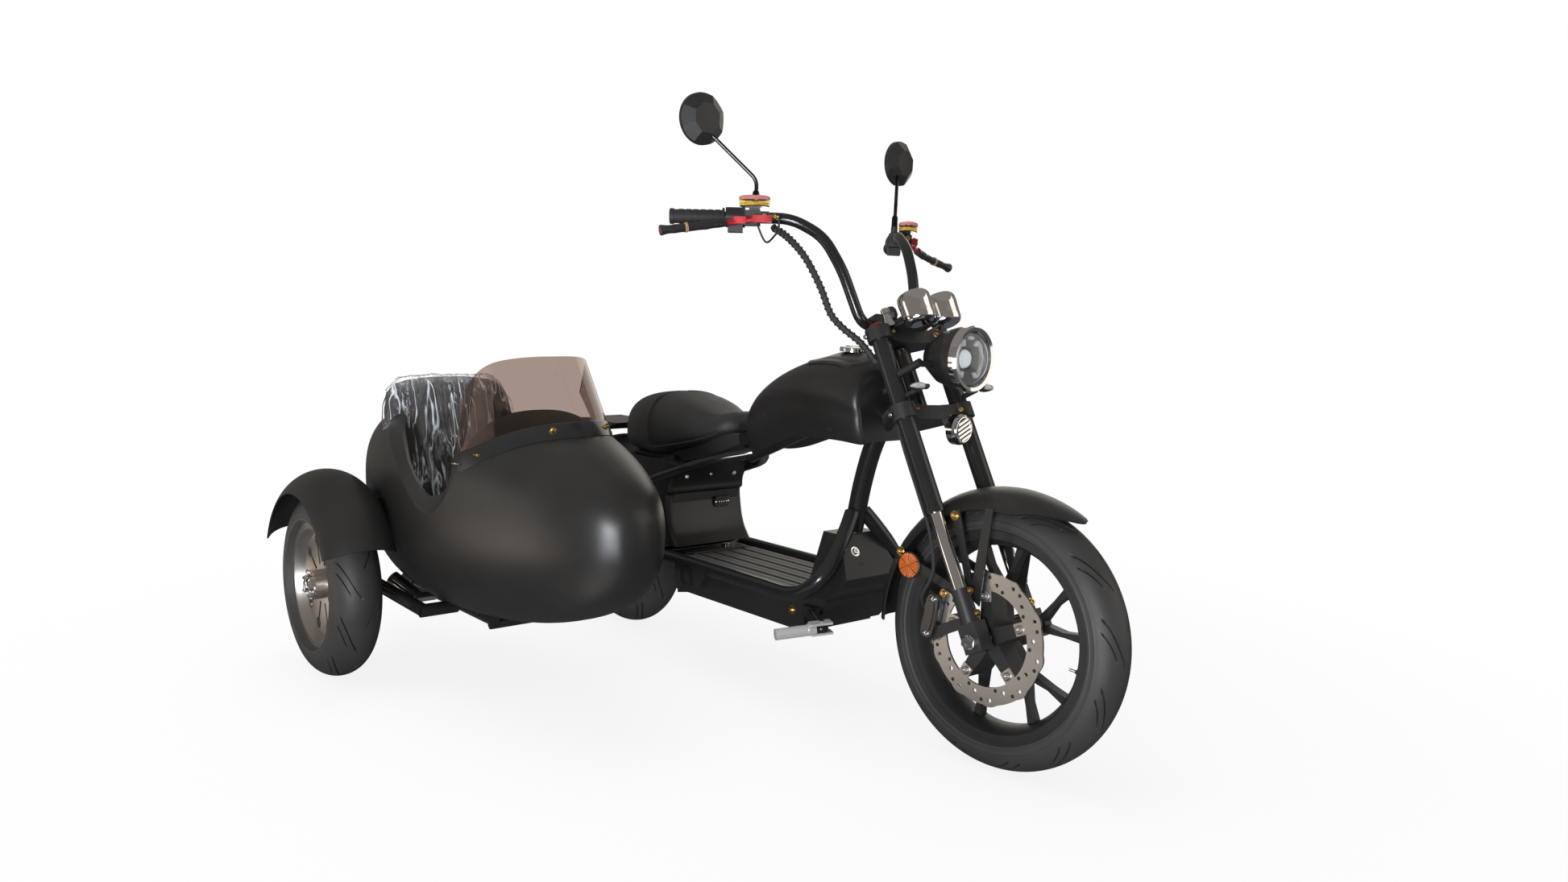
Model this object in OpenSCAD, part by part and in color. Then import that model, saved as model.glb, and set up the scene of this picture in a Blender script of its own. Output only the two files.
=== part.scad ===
// Electric chopper scooter with a sidecar on the rider's right.
// X points forward, Y to the rider's left and Z up, in millimetres. The ground is z = 0.
// Sizes are laid out from the point where the straight-ahead front tyre meets the ground,
// and placed() moves the whole vehicle so that the middle of its box is the origin.

/* [Wheels] */
// Outside diameter of the front tyre
front_tyre_d = 586; // [560:1:610]
// Width of the front tyre
front_tyre_w = 110; // [100:1:120]
// Height of the front tyre's wall above the rim's lip
front_wall = 64; // [60:1:72]
// Outside diameter of the rear and sidecar tyres
small_tyre_d = 487; // [470:1:500]
// Width of the rear and sidecar tyres
small_tyre_w = 130; // [120:1:136]
// Height of the rear and sidecar tyres' walls above the rims' lips
small_wall = 76.5; // [72:0.5:84]
// Diameter of the front brake disc
disc_d = 290; // [270:1:300]

/* [Chassis] */
// Distance between the front and rear axles
wheelbase = 1500; // [1480:1:1530]
// Angle of the steering head behind the vertical
rake = 27; // [25:1:29]
// Distance from the steering axis to the fork legs
fork_offset = 45; // [40:1:50]
// Distance between the two fork legs
fork_spread = 210; // [200:1:224]
// How far the steering is turned to the left as shown
steer = 6; // [-10:1:10]
// Outside diameter of the upper fork tubes
fork_tube_d = 42; // [40:1:46]
// Diameter of the sliding fork tubes
stanchion_d = 31; // [28:1:34]
// Outside diameter of the cradle rails beside the footboard
rail_d = 38; // [34:1:42]
// Height of the footboard's plate above the ground
board_z = 292; // [286:1:300]
// Height of the belly's flat underside above the ground
belly_z = 195; // [180:1:205]

/* [Handlebar] */
// Diameter of the handlebar tube
bar_d = 26; // [22:1:28]
// Outside diameter of the grips
grip_d = 34; // [32:1:38]
// Length of each grip
grip_l = 122; // [110:1:126]

/* [Sidecar] */
// Distance from the scooter's middle plane to the sidecar wheel's
sidecar_track = 931; // [915:1:950]
// How far the sidecar wheel's axle is ahead of the rear axle
sidecar_lead = 26; // [10:1:40]
// Distance from the scooter's middle plane to the tub's
tub_y = 596; // [590:1:602]
// Thickness of the tub's shell
tub_wall = 8; // [6:1:12]
// Thickness of the windscreen
screen_t = 4; // [3:0.5:6]

/* [Fits] */
// Play between a turning part and the part that it turns in
play = 1; // [0.5:0.1:2]
// Gap left between two pieces that are fastened together
seat_gap = 0.3; // [0.2:0.05:0.5]
// Smallest gap kept between moving and fixed parts
clear = 6; // [5:0.5:8]

/* [Hidden] */
$fn = 48;

// Wheelbase for which the places of the rear half are written, and how far another one moves them
drawn_base = 1500;
rear_shift = drawn_base - wheelbase;
// Front wheel's radius for which the places on the fork are written
drawn_front_r = 293;

// Middle of the vehicle's box, which becomes the origin
mid_x = -808 + rear_shift / 2;
mid_y = -262.1;

front_r = front_tyre_d / 2;
small_r = small_tyre_d / 2;
front_rim_d = front_tyre_d - 2 * front_wall;
small_rim_d = small_tyre_d - 2 * small_wall;
lift = [0, 0, front_r - drawn_front_r];
// The tyre's crown is an arc as wide as the tyre, and its middle ring carries it
front_ring_r = front_r - front_tyre_w / 2;
// A turned fork tips the wheel, so the axle stands at the height that keeps the tyre on the ground
tip = sin(steer) * sin(rake);
front_axle_z = front_tyre_w / 2 + front_ring_r * sqrt(1 - tip * tip)
    + fork_offset * (1 - cos(steer)) * sin(rake);
// Point on the steering axis nearest to the front axle
pivot = [-fork_offset * cos(rake), 0, front_axle_z - fork_offset * sin(rake)];
leg_y = fork_spread / 2;
rear_axle_at = [-drawn_base, 0, small_r];
sidecar_axle_at = [sidecar_lead - drawn_base, -sidecar_track, small_r];

black = [0.07, 0.07, 0.075];
grey = [0.16, 0.16, 0.17];
chrome = [0.78, 0.78, 0.8];
steel = [0.6, 0.6, 0.62];
rubber = [0.04, 0.04, 0.045];
clear_lens = [0.85, 0.9, 0.92, 0.6];
red = [0.65, 0.08, 0.12];

// Distances up the fork from the axle
axle_clamp_top = 112;
// Half the width of the blocks that hold the axle's ends
clamp_half_w = 20;
tube_foot = 282;
slide_l = 100;
lower_clamp_at = 500;
clamp_t = 34;
head_foot = lower_clamp_at + clamp_t + clear;
upper_clamp_at = 690;
upper_clamp_t = 30;
head_top = upper_clamp_at - clear;
fork_top = upper_clamp_at + upper_clamp_t + 4;
stem_d = 34;
head_d = 58;

function unit(v) = v / norm(v);
function mirrored(v) = [v.x, -v.y, v.z];
// Corner points of a path eased into curves that start the distance d from each corner
function eased(p, d, n = 5) = [
    p[0],
    for (i = [1 : len(p) - 2])
        let (from = p[i] + unit(p[i - 1] - p[i]) * d, to = p[i] + unit(p[i + 1] - p[i]) * d)
        for (k = [0 : n])
            let (t = k / n)
            from * (1 - t) * (1 - t) + p[i] * 2 * t * (1 - t) + to * t * t,
    p[len(p) - 1]
];
// Smooth curve through every point of a path
function through(p, n) = [
    for (i = [0 : len(p) - 2])
        let (a = p[max(i - 1, 0)], b = p[i], c = p[i + 1], d = p[min(i + 2, len(p) - 1)])
        for (k = [0 : n - 1])
            let (t = k / n)
            0.5 * (2 * b + (c - a) * t + (2 * a - 5 * b + 4 * c - d) * t * t
                + (3 * b - a - 3 * c + d) * t * t * t),
    p[len(p) - 1]
];
function carried(tangents, v, i = 0) =
    i == len(tangents) ? [] :
    let (w = unit(v - tangents[i] * (v * tangents[i])))
    concat([w], carried(tangents, w, i + 1));

// Closed skin through rings that have equal numbers of points
module skin(rings) {
    n = len(rings[0]);
    m = len(rings);
    sides = [
        for (i = [0 : m - 2])
            for (k = [0 : n - 1])
                let (a = i * n + k, b = i * n + (k + 1) % n)
                each [[a, b, b + n], [a, b + n, a + n]]
    ];
    first = [for (k = [n - 1 : -1 : 0]) k];
    last = [for (k = [0 : n - 1]) (m - 1) * n + k];
    polyhedron([for (r = rings) each r], concat(sides, [first], [last]));
}

// Curved sheet between an outer and an inner grid of points that have equal sizes
module sheet(outer, inner) {
    rows = len(outer);
    n = len(outer[0]);
    far = rows * n;
    // Both faces of the sheet
    faces = [
        for (i = [0 : rows - 2])
            for (k = [0 : n - 2])
                let (a = i * n + k, b = a + 1, c = b + n, d = a + n)
                each [[a, b, c], [a, c, d], [far + b, far + a, far + c], [far + c, far + a, far + d]]
    ];
    foot = [for (k = [0 : n - 2]) each [[k + 1, k, far + k], [k + 1, far + k, far + k + 1]]];
    head = [for (k = [0 : n - 2])
        let (a = (rows - 1) * n + k)
        each [[a, a + 1, far + a], [a + 1, far + a + 1, far + a]]];
    ends = [for (i = [0 : rows - 2])
        let (a = i * n, b = i * n + n - 1)
        each [[a, a + n, far + a], [a + n, far + a + n, far + a], [b + n, b, far + b], [b + n, far + b, far + b + n]]];
    polyhedron(concat([for (r = outer) each r], [for (r = inner) each r]), concat(faces, foot, head, ends));
}

// Round bar of radius r along a path
module sweep(path, r, sides = 12, side = [0.3, 1, 0.2]) {
    n = len(path);
    tangents = [for (i = [0 : n - 1]) unit(path[min(i + 1, n - 1)] - path[max(i - 1, 0)])];
    normals = carried(tangents, side);
    skin([
        for (i = [0 : n - 1])
            [for (k = [0 : sides - 1])
                let (a = 360 * k / sides)
                path[i] + r * (cos(a) * normals[i] - sin(a) * cross(tangents[i], normals[i]))]
    ]);
}

// Straight round bar between two points
module rod(a, b, d) {
    v = b - a;
    translate(a)
        rotate([0, acos(v.z / norm(v)), atan2(v.y, v.x)])
            cylinder(d = d, h = norm(v));
}

// Puts what is drawn for the straight-ahead vehicle in its place
module placed() {
    translate([-mid_x, -mid_y, 0])
        children();
}

// Local Z runs up the steering axis and X forward of it, before the steering is turned
module head_axis() {
    translate(pivot)
        rotate([0, -rake, 0])
            children();
}

module fork() {
    head_axis()
        rotate([0, 0, steer])
            children();
}

// Straight-ahead positions turned with the steering
module steered() {
    fork()
        rotate([0, rake, 0])
            translate(lift - pivot)
                children();
}

// Places of the rear half and the sidecar moved with the rear axle
module rear_half() {
    translate([rear_shift, 0, 0])
        children();
}

module on_both_sides() {
    children();
    mirror([0, 1, 0])
        children();
}

// Wheels, drawn about their own axle along Y
module wheel_at(at) {
    translate(at)
        rotate([90, 0, 0])
            children();
}

module front_wheel() {
    fork()
        translate([fork_offset, 0, 0])
            rotate([90, 0, 0])
                children();
}

module tyre(outer_d, width, lip_d, rim_w) {
    bead_r = lip_d / 2 - 12 + seat_gap;
    bead_y = rim_w / 2 - 5 - seat_gap;
    rotate_extrude($fn = 96)
        difference() {
            translate([outer_d / 2 - width / 2, 0])
                circle(d = width);
            translate([0, -width])
                square([bead_r, 2 * width]);
            for (s = [-1, 1])
                translate([0, s * (bead_y + width / 2) - width / 2])
                    square([lip_d / 2 + 1, width]);
            translate([bead_r - 1, -0.28 * width])
                square([outer_d / 2 - bead_r - 16, 0.56 * width]);
        }
}

// Rim band with lips outside the tyre's beads
module rim_band(lip_d, width) {
    lip = lip_d / 2;
    seat_r = lip - 12;
    half = width / 2;
    rotate_extrude($fn = 96)
        polygon([[seat_r - 14, -half + 8], [seat_r - 8, -half], [lip, -half], [lip, -half + 4],
            [seat_r, -half + 5], [seat_r, -half + 18], [seat_r - 16, -half + 28],
            [seat_r - 16, half - 28], [seat_r, half - 18], [seat_r, half - 5], [lip, half - 4],
            [lip, half], [seat_r - 8, half], [seat_r - 14, half - 8], [seat_r - 24, half - 30],
            [seat_r - 24, 30 - half]]);
}

module front_tyre() {
    color(rubber)
        front_wheel()
            tyre(front_tyre_d, front_tyre_w, front_rim_d, front_rim_w);
}

front_rim_w = 0.8 * front_tyre_w;
front_hub_l = 120;
axle_d = 20;
axle_bore = 12;
leg_reach = 135;
// Turn of the wheel's five arms, and the circle of the bolts that hold the disc to them
arm_turn = -3;
lug_r = 90;
disc_at = 70;
disc_t = 5;
module front_rim() {
    band_r = front_rim_d / 2 - 30;
    // Where an arm parts, and where its two spokes are narrowest
    part_r = 94;
    waist_r = 150;
    color(black)
        front_wheel()
            difference() {
                union() {
                    rim_band(front_rim_d, front_rim_w);
                    cylinder(d = 64, h = front_hub_l, center = true);
                    for (k = [0 : 4])
                        rotate([0, 0, k * 72 + arm_turn]) {
                            translate([0, 0, -12])
                                linear_extrude(24)
                                    polygon([[24, -17], [part_r, -13], [waist_r, -39],
                                        band_r * [cos(18), -sin(18)], band_r * [cos(12.5), -sin(12.5)],
                                        [waist_r, -28], [part_r + 20, -4], [part_r + 20, 4], [waist_r, 28],
                                        band_r * [cos(12.5), sin(12.5)], band_r * [cos(18), sin(18)],
                                        [waist_r, 39], [part_r, 13], [24, 17]]);
                            linear_extrude(disc_at - disc_t / 2 - seat_gap)
                                polygon([[24, -17], [lug_r + 10, -12], [lug_r + 10, 12], [24, 17]]);
                        }
                }
                cylinder(d = axle_d + 2 * play, h = 2 * front_hub_l, center = true);
            }
}

module brake_disc() {
    band = 42;
    lobe_r = 34;
    color(steel)
        front_wheel()
            translate([0, 0, disc_at - disc_t / 2])
                linear_extrude(disc_t)
                    difference() {
                        union() {
                            difference() {
                                union() {
                                    circle(d = disc_d - 8, $fn = 96);
                                    for (k = [0 : 9])
                                        rotate(k * 36)
                                            translate([disc_d / 2 - lobe_r, 0])
                                                circle(r = lobe_r);
                                }
                                circle(d = disc_d - 2 * band);
                            }
                            for (k = [0 : 4])
                                rotate(k * 72 + arm_turn)
                                    translate([lug_r - 12, -13])
                                        square([disc_d / 2 - band + 6 - lug_r + 12, 26]);
                        }
                        for (k = [0 : 19])
                            rotate(k * 18)
                                translate([disc_d / 2 - 14 - 13 * (k % 2), 0])
                                    circle(d = 9, $fn = 24);
                    }
}

small_rim_w = 0.72 * small_tyre_w;
module rear_tyre() {
    color(rubber)
        wheel_at(rear_axle_at)
            tyre(small_tyre_d, small_tyre_w, small_rim_d, small_rim_w);
}

motor_d = small_rim_d - 98;
module rear_rim() {
    color(black)
        wheel_at(rear_axle_at)
            difference() {
                union() {
                    rim_band(small_rim_d, small_rim_w);
                    cylinder(d = motor_d, h = 0.9 * small_rim_w, center = true);
                    difference() {
                        cylinder(d = small_rim_d - 64, h = 20, center = true);
                        for (k = [0 : 5])
                            rotate([0, 0, k * 60])
                                translate([small_rim_d / 2 - 40, 0, 0])
                                    cylinder(d = 20, h = 30, center = true);
                    }
                    cylinder(d = 70, h = small_rim_w + 16, center = true);
                }
                cylinder(d = axle_d + 2 * play, h = 3 * small_rim_w, center = true);
            }
}

module sidecar_tyre() {
    color(rubber)
        wheel_at(sidecar_axle_at)
            tyre(small_tyre_d, small_tyre_w, small_rim_d, small_rim_w);
}

// The sidecar wheel's face is a dished disc with ten long openings
module sidecar_rim() {
    face_r = small_rim_d / 2 - 28;
    color(chrome)
        wheel_at(sidecar_axle_at)
            difference() {
                union() {
                    rim_band(small_rim_d, small_rim_w);
                    translate([0, 0, 4])
                        difference() {
                            cylinder(r = face_r, h = 18);
                            for (k = [0 : 9])
                                rotate([0, 0, k * 36]) {
                                    translate([face_r - 22, 0, -1])
                                        cylinder(d = 30, h = 30);
                                    translate([52, -5, -1])
                                        cube([face_r - 74, 10, 30]);
                                }
                        }
                    translate([0, 0, -52])
                        cylinder(d = 76, h = 104);
                    for (k = [0 : 4])
                        rotate([0, 0, k * 72])
                            translate([27, 0, 50])
                                cylinder(d = 10, h = 10, $fn = 6);
                }
                translate([0, 0, -53])
                    cylinder(d = axle_d + 2 * play, h = 90);
            }
}

// Fork and steering
module fork_legs() {
    for (s = [-1, 1])
        translate([fork_offset, s * leg_y, 0])
            children();
}

module fork_tubes() {
    color(black)
        fork()
            fork_legs()
                difference() {
                    union() {
                        translate([0, 0, tube_foot])
                            cylinder(d = fork_tube_d, h = fork_top - tube_foot);
                        translate([0, 0, tube_foot])
                            cylinder(d = fork_tube_d + 4, h = 14);
                    }
                    translate([0, 0, tube_foot - 1])
                        cylinder(d = stanchion_d + 2 * seat_gap, h = slide_l + 2);
                }
}

module stanchions() {
    color(chrome)
        fork()
            fork_legs()
                translate([0, 0, axle_clamp_top + seat_gap])
                    cylinder(d = stanchion_d, h = tube_foot + slide_l - axle_clamp_top - seat_gap);
}

module axle_clamps() {
    color(black)
        fork()
            fork_legs()
                difference() {
                    union() {
                        translate([0, 0, 20])
                            cylinder(r = clamp_half_w, h = axle_clamp_top - 20);
                        translate([-clamp_half_w - 3, -clamp_half_w, -24])
                            cube([2 * clamp_half_w + 6, 2 * clamp_half_w, 62]);
                    }
                    rotate([90, 0, 0])
                        cylinder(d = axle_d + 2 * seat_gap, h = 100, center = true);
                }
}

module front_axle() {
    inner = leg_y - clamp_half_w - seat_gap;
    color(steel)
        front_wheel()
            difference() {
                union() {
                    cylinder(d = axle_d, h = 2 * leg_reach, center = true);
                    for (s = [-1, 1]) {
                        translate([0, 0, s * (leg_y + clamp_half_w + seat_gap + 4)])
                            cylinder(d = 30, h = 8, center = true);
                        translate([0, 0, s * (inner - 4)])
                            cylinder(d = 30, h = 8, center = true);
                    }
                }
                cylinder(d = axle_bore, h = 3 * leg_reach, center = true);
            }
}

// Bridge of a fork clamp with a boss at each leg
module clamp_plate(t, boss) {
    difference() {
        linear_extrude(t)
            union() {
                polygon([[-28, -30], [fork_offset - 16, -leg_y - 8], [fork_offset + 16, -leg_y],
                    [fork_offset + 2, -30], [fork_offset + 2, 30], [fork_offset + 16, leg_y],
                    [fork_offset - 16, leg_y + 8], [-28, 30]]);
                circle(d = head_d + 10);
                for (s = [-1, 1])
                    translate([fork_offset, s * leg_y])
                        circle(d = boss);
            }
        fork_legs()
            translate([0, 0, -1])
                cylinder(d = fork_tube_d + 2 * seat_gap, h = t + 2);
    }
}

module upper_clamp() {
    riser_h = bar_lift + bar_d / 2 + 8;
    color(black)
        fork()
            translate([0, 0, upper_clamp_at])
                difference() {
                    union() {
                        clamp_plate(upper_clamp_t, fork_tube_d + 16);
                        for (s = [-1, 1])
                            translate([-22, s * 46 - 16, upper_clamp_t - 4])
                                cube([44, 32, riser_h + 4]);
                    }
                    translate([0, 0, upper_clamp_t + bar_lift])
                        rotate([90, 0, 0])
                            cylinder(d = bar_d + 2 * seat_gap, h = 200, center = true);
                    translate([0, 0, -1])
                        cylinder(d = stem_d + 2 * seat_gap, h = upper_clamp_t + 2);
                }
}

module lower_clamp() {
    stem_top = upper_clamp_at + upper_clamp_t;
    color(black)
        fork() {
            translate([0, 0, lower_clamp_at])
                clamp_plate(clamp_t, fork_tube_d + 14);
            translate([0, 0, lower_clamp_at + 1])
                cylinder(d = stem_d, h = stem_top - lower_clamp_at);
            translate([0, 0, stem_top + seat_gap])
                cylinder(d = stem_d + 12, h = 9, $fn = 6);
        }
}

// Middle of the bar where the upper clamp holds it, in straight-ahead positions
bar_lift = 30;
bar_rise = upper_clamp_at + upper_clamp_t + bar_lift;
bar_mid = pivot - lift + bar_rise * [-sin(rake), 0, cos(rake)];
// Bends of the bar's left half, from the middle out to the grip's end
bar_bends = [bar_mid, [bar_mid.x, 96, bar_mid.z], [-422, 128, 1064], [-466, 150, 1138],
    [-530, 192, 1176], [-724, 388, 1166]];
grip_dir = unit(bar_bends[5] - bar_bends[4]);
bar_end = bar_bends[5];
grip_start = bar_end - grip_dir * (grip_l + 2);
function along_grip(t) = bar_end - grip_dir * t;
// Local Z along the grip to its end, X up and Y forward, at the distance t in from the end
module at_grip(t) {
    p = along_grip(t);
    translate(p)
        rotate([0, 0, atan2(grip_dir.y, grip_dir.x)])
            rotate([0, acos(grip_dir.z), 0])
                rotate([0, 0, 180])
                    children();
}

module handlebar() {
    left = eased(bar_bends, 34);
    middle_out = [for (i = [1 : len(left) - 1]) left[i]];
    right = [for (i = [len(left) - 1 : -1 : 1]) mirrored(left[i])];
    color(black)
        steered()
            sweep(concat(right, middle_out), bar_d / 2, 16);
}

module grips() {
    ridges = 6;
    pitch = (grip_l - 22) / ridges;
    color(rubber)
        steered()
            on_both_sides()
                at_grip(0)
                    translate([0, 0, -grip_l])
                        difference() {
                            union() {
                                cylinder(d = grip_d - 2, h = grip_l + 4);
                                cylinder(d = grip_d + 8, h = 5);
                                for (k = [0 : ridges - 1])
                                    translate([0, 0, 10 + k * pitch])
                                        cylinder(d = grip_d, h = pitch - 5);
                                translate([0, 0, grip_l - 6])
                                    cylinder(d = grip_d + 2, h = 9);
                            }
                            translate([0, 0, -1])
                                cylinder(d = bar_d + 2 * seat_gap, h = grip_l + 1 + seat_gap);
                        }
}

// Switch housings and brake master cylinders
housing_l = 44;
// From the brake cylinder's middle out to the switch housing
housing_at = 22;
master_at = grip_l + housing_l + housing_at + 3;
// Height of the fluid cups' floor above the bar's middle
cup_foot = 21;
module controls() {
    color(black)
        steered()
            on_both_sides()
                at_grip(master_at)
                    difference() {
                        union() {
                            translate([0, 0, housing_at])
                                cylinder(d = 46, h = housing_l);
                            translate([-34, -16, housing_at + 5])
                                cube([30, 32, housing_l - 10]);
                            translate([-18, -18, -13])
                                cube([34, 36, housing_at + 18]);
                            translate([-11, 8, -33])
                                cube([22, 30, 54]);
                            translate([6, 14, -12])
                                cube([cup_foot - 6 - seat_gap, 22, 24]);
                            translate([8, -6, 0])
                                rotate([0, 90, 0])
                                    cylinder(d = 17, h = 26);
                        }
                        translate([0, 0, -60])
                            cylinder(d = bar_d + 2 * seat_gap, h = 180);
                    }
}

module reservoirs() {
    color(clear_lens)
        steered()
            on_both_sides()
                at_grip(master_at)
                    translate([cup_foot, 30, 0])
                        rotate([0, 90, 0])
                            cylinder(d = 50, h = 25);
}

module levers() {
    // How far the tip of the right and of the left blade stands open
    opened = [0, 66];
    blade = [[-6, 45.6, -36], [-8, 45.6, 0], [-14, 47, 40], [-24, 60, 100], [-34, 80, 160], [-42, 100, 206]];
    color(red)
        steered()
            for (side = [0, 1])
                mirror([0, 1 - side, 0])
                    at_grip(master_at)
                        sweep(through([for (p = blade) p + [0, opened[side] * pow(max(p.z, 0) / 206, 1.5), 0]], 5), 7, 8,
                            [1, 0, 0]);
}

mirror_at = [-676, 350, 1388];
mirror_d = 118;
// Level direction from the bar towards the rider's front, at right angles to the grip
grip_in = [grip_dir.y, -grip_dir.x, 0];
module mirrors() {
    foot = along_grip(master_at) + [0, 0, 34 + seat_gap] + grip_in * -6;
    neck = mirror_at + [8, -16, -30];
    color(grey)
        steered()
            on_both_sides() {
                sweep(eased([foot, foot + [0, 0, 52], neck], 20), 5, 10, [1, 0, 0]);
                translate(mirror_at)
                    rotate([0, 0, 6])
                        rotate([0, 90, 0]) {
                            translate([0, 0, -12])
                                cylinder(d = mirror_d, h = 14);
                            translate([0, 0, 1])
                                cylinder(d1 = mirror_d - 4, d2 = 0.6 * mirror_d, h = 22, $fn = 8);
                        }
            }
}

// Lamp, gauges and horn carried on the clamps
lamp_at = [-129, 0, 878];
lamp_d = 148;
// Front of the fork legs, where brackets are clamped, ahead of the steering axis
leg_front = fork_offset + fork_tube_d / 2 + seat_gap;
// Height of the front indicators up the fork
blinker_z = 548;
module headlamp() {
    arm_z = 600;
    color(black) {
        steered()
            translate(lamp_at)
                rotate([0, -90, 0])
                    rotate_extrude()
                        polygon([[lamp_d / 2 - 11, 18 + seat_gap], [lamp_d / 2 - 6, 18 + seat_gap],
                            [lamp_d / 2 - 4, 40], [lamp_d / 2 - 16, 84], [34, 118], [0, 126], [0, 121],
                            [31, 113], [lamp_d / 2 - 21, 81], [lamp_d / 2 - 9, 40]]);
        fork()
            for (s = [-1, 1]) {
                rod([leg_front, s * leg_y, arm_z], [130, s * leg_y, arm_z], 18);
                rod([122, s * leg_y, arm_z], [122, s * 40, arm_z], 14);
                rod([leg_front, s * leg_y, blinker_z], [104, s * leg_y, blinker_z], 12);
            }
    }
}

module headlamp_ring() {
    color(chrome)
        steered()
            translate(lamp_at)
                rotate([0, -90, 0])
                    rotate_extrude()
                        polygon([[lamp_d / 2 - 12, 2], [lamp_d / 2 - 4, 0], [lamp_d / 2, 6],
                            [lamp_d / 2, 18], [lamp_d / 2 - 12, 18]]);
}

module headlamp_lens() {
    lens_r = lamp_d / 2 - 12 - seat_gap;
    color(clear_lens)
        steered()
            translate(lamp_at)
                rotate([0, -90, 0])
                    rotate_extrude()
                        polygon([[0, -10], [26, -8], [48, -2], [lens_r, 6], [lens_r, 18],
                            [lens_r - 4, 18], [lens_r - 4, 9], [46, 2], [25, -4], [0, -6]]);
}

module gauge_pods() {
    shelf = upper_clamp_at + upper_clamp_t + seat_gap;
    color(chrome)
        fork() {
            translate([26, -58, shelf])
                cube([100, 116, 5]);
            for (s = [-1, 1])
                translate([124, s * 47, shelf - 22])
                    rotate_extrude()
                        polygon([[0, 0], [28, 0], [35, 8], [36, 62], [39, 64], [39, 74], [34, 74], [34, 70],
                            [0, 70]]);
        }
}

module front_indicators() {
    color(clear_lens)
        fork()
            for (s = [-1, 1])
                translate([104 + seat_gap + 13, s * (leg_y + 14), blinker_z])
                    rotate([-90 * s, 0, 0])
                        rotate_extrude($fn = 32)
                            polygon([[0, -28], [9, -28], [13, -22], [13, -6], [11, 12], [6, 28], [0, 34]]);
}

module horn() {
    color(chrome) {
        steered()
            translate([-179, 30, 719])
                rotate([0, 90, 0])
                    rotate_extrude()
                        polygon([[0, -26], [22, -26], [35, -14], [35, 2], [29, 8], [0, 10]]);
        fork()
            translate([46, 22, 462])
                cube([24, 16, lower_clamp_at - 462 - seat_gap]);
    }
}

// Front mudguard and its stays
fender_t = 4;
front_crown_r = front_r + 26;
module front_fender() {
    crown = 100;
    ring_r = front_crown_r - crown;
    // The guard runs from its pointed tip to its rear end, as angles from straight ahead
    tip_at = 57;
    tail_at = 183;
    // Half of the arc across the guard, which narrows to the tip
    spread = 57;
    narrows = 24;
    rows = 28;
    across = 12;
    stay_in = leg_y - clamp_half_w - seat_gap - fender_t;
    stay_r = ring_r + 58;
    // Each stay's feet beside the fork leg and the angle at which it meets the guard
    stays = [[[-6, 70], [16, 96], 82], [[2, 92], [18, 66], 64], [[-16, 84], [-8, 106], 122]];
    function shell(r) = [
        for (i = [0 : rows])
            let (run = (tail_at - tip_at) * pow(i / rows, 1.4), a = tip_at - rake + run,
                half = spread * (0.05 + 0.95 * pow(min(run / narrows, 1), 0.6)))
            [for (k = [0 : across])
                let (p = half * (2 * k / across - 1), out = ring_r + r * cos(p))
                [out * cos(a), out * sin(a), r * sin(p)]]
    ];
    color(black)
        front_wheel() {
            sheet(shell(crown), shell(crown - fender_t));
            for (s = [0, 1])
                mirror([0, 0, s])
                    translate([0, 0, stay_in])
                        linear_extrude(fender_t)
                            for (t = stays)
                                polygon([t[0], t[1], stay_r * [cos(t[2] - 2), sin(t[2] - 2)],
                                    stay_r * [cos(t[2] + 2), sin(t[2] + 2)]]);
        }
}

module caliper() {
    inner = leg_y - clamp_half_w - seat_gap;
    // The lug reaches from the fork leg to the middle of the caliper
    lug_end = disc_d / 2 - 19;
    color(steel)
        front_wheel()
            difference() {
                union() {
                    rotate([0, 0, 143])
                        translate([disc_d / 2 - 26, -52, disc_at - 15])
                            cube([38, 104, 30]);
                    translate([-lug_end, 34, disc_at + 9])
                        cube([lug_end - 4, 24, inner - disc_at - 9]);
                }
                translate([0, 0, disc_at])
                    cylinder(d = disc_d + 6, h = 11, center = true);
            }
}

module brake_hose() {
    back = fork_offset - fork_tube_d / 2 - 8;
    path = [[back + 3.8, -leg_y, lower_clamp_at - 5], [back, -leg_y, 440], [back, -leg_y, 320], [back - 2, -leg_y, 250],
        [back - 24, -leg_y, 170], [-62, -leg_y + 6, 130], [-78, -leg_y + 20, 108]];
    color(rubber)
        fork()
            sweep(through(path, 5), 4, 8);
}

module cable_loom() {
    path = [[-559.5, -221.5, 1153.5], [-508, -224, 1130], [-453, -220, 1085], [-419, -200, 1020],
        [-402, -180, 962], [-383, -158, 932], [-350, -130, 900], [-320.5, -108, 858.7]];
    color(rubber)
        steered()
            sweep(through(path, 6), 7, 10);
}

// Frame
module head_bore() {
    head_axis()
        translate([0, 0, head_foot - 50])
            cylinder(d = stem_d + 2 * play, h = head_top - head_foot + 100);
}

// Height of the front cover's top, where the down tube ends
cover_top = 440;
spine = [[-330, 0, 812] + lift, [-900 + rear_shift, 0, 585]];
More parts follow.
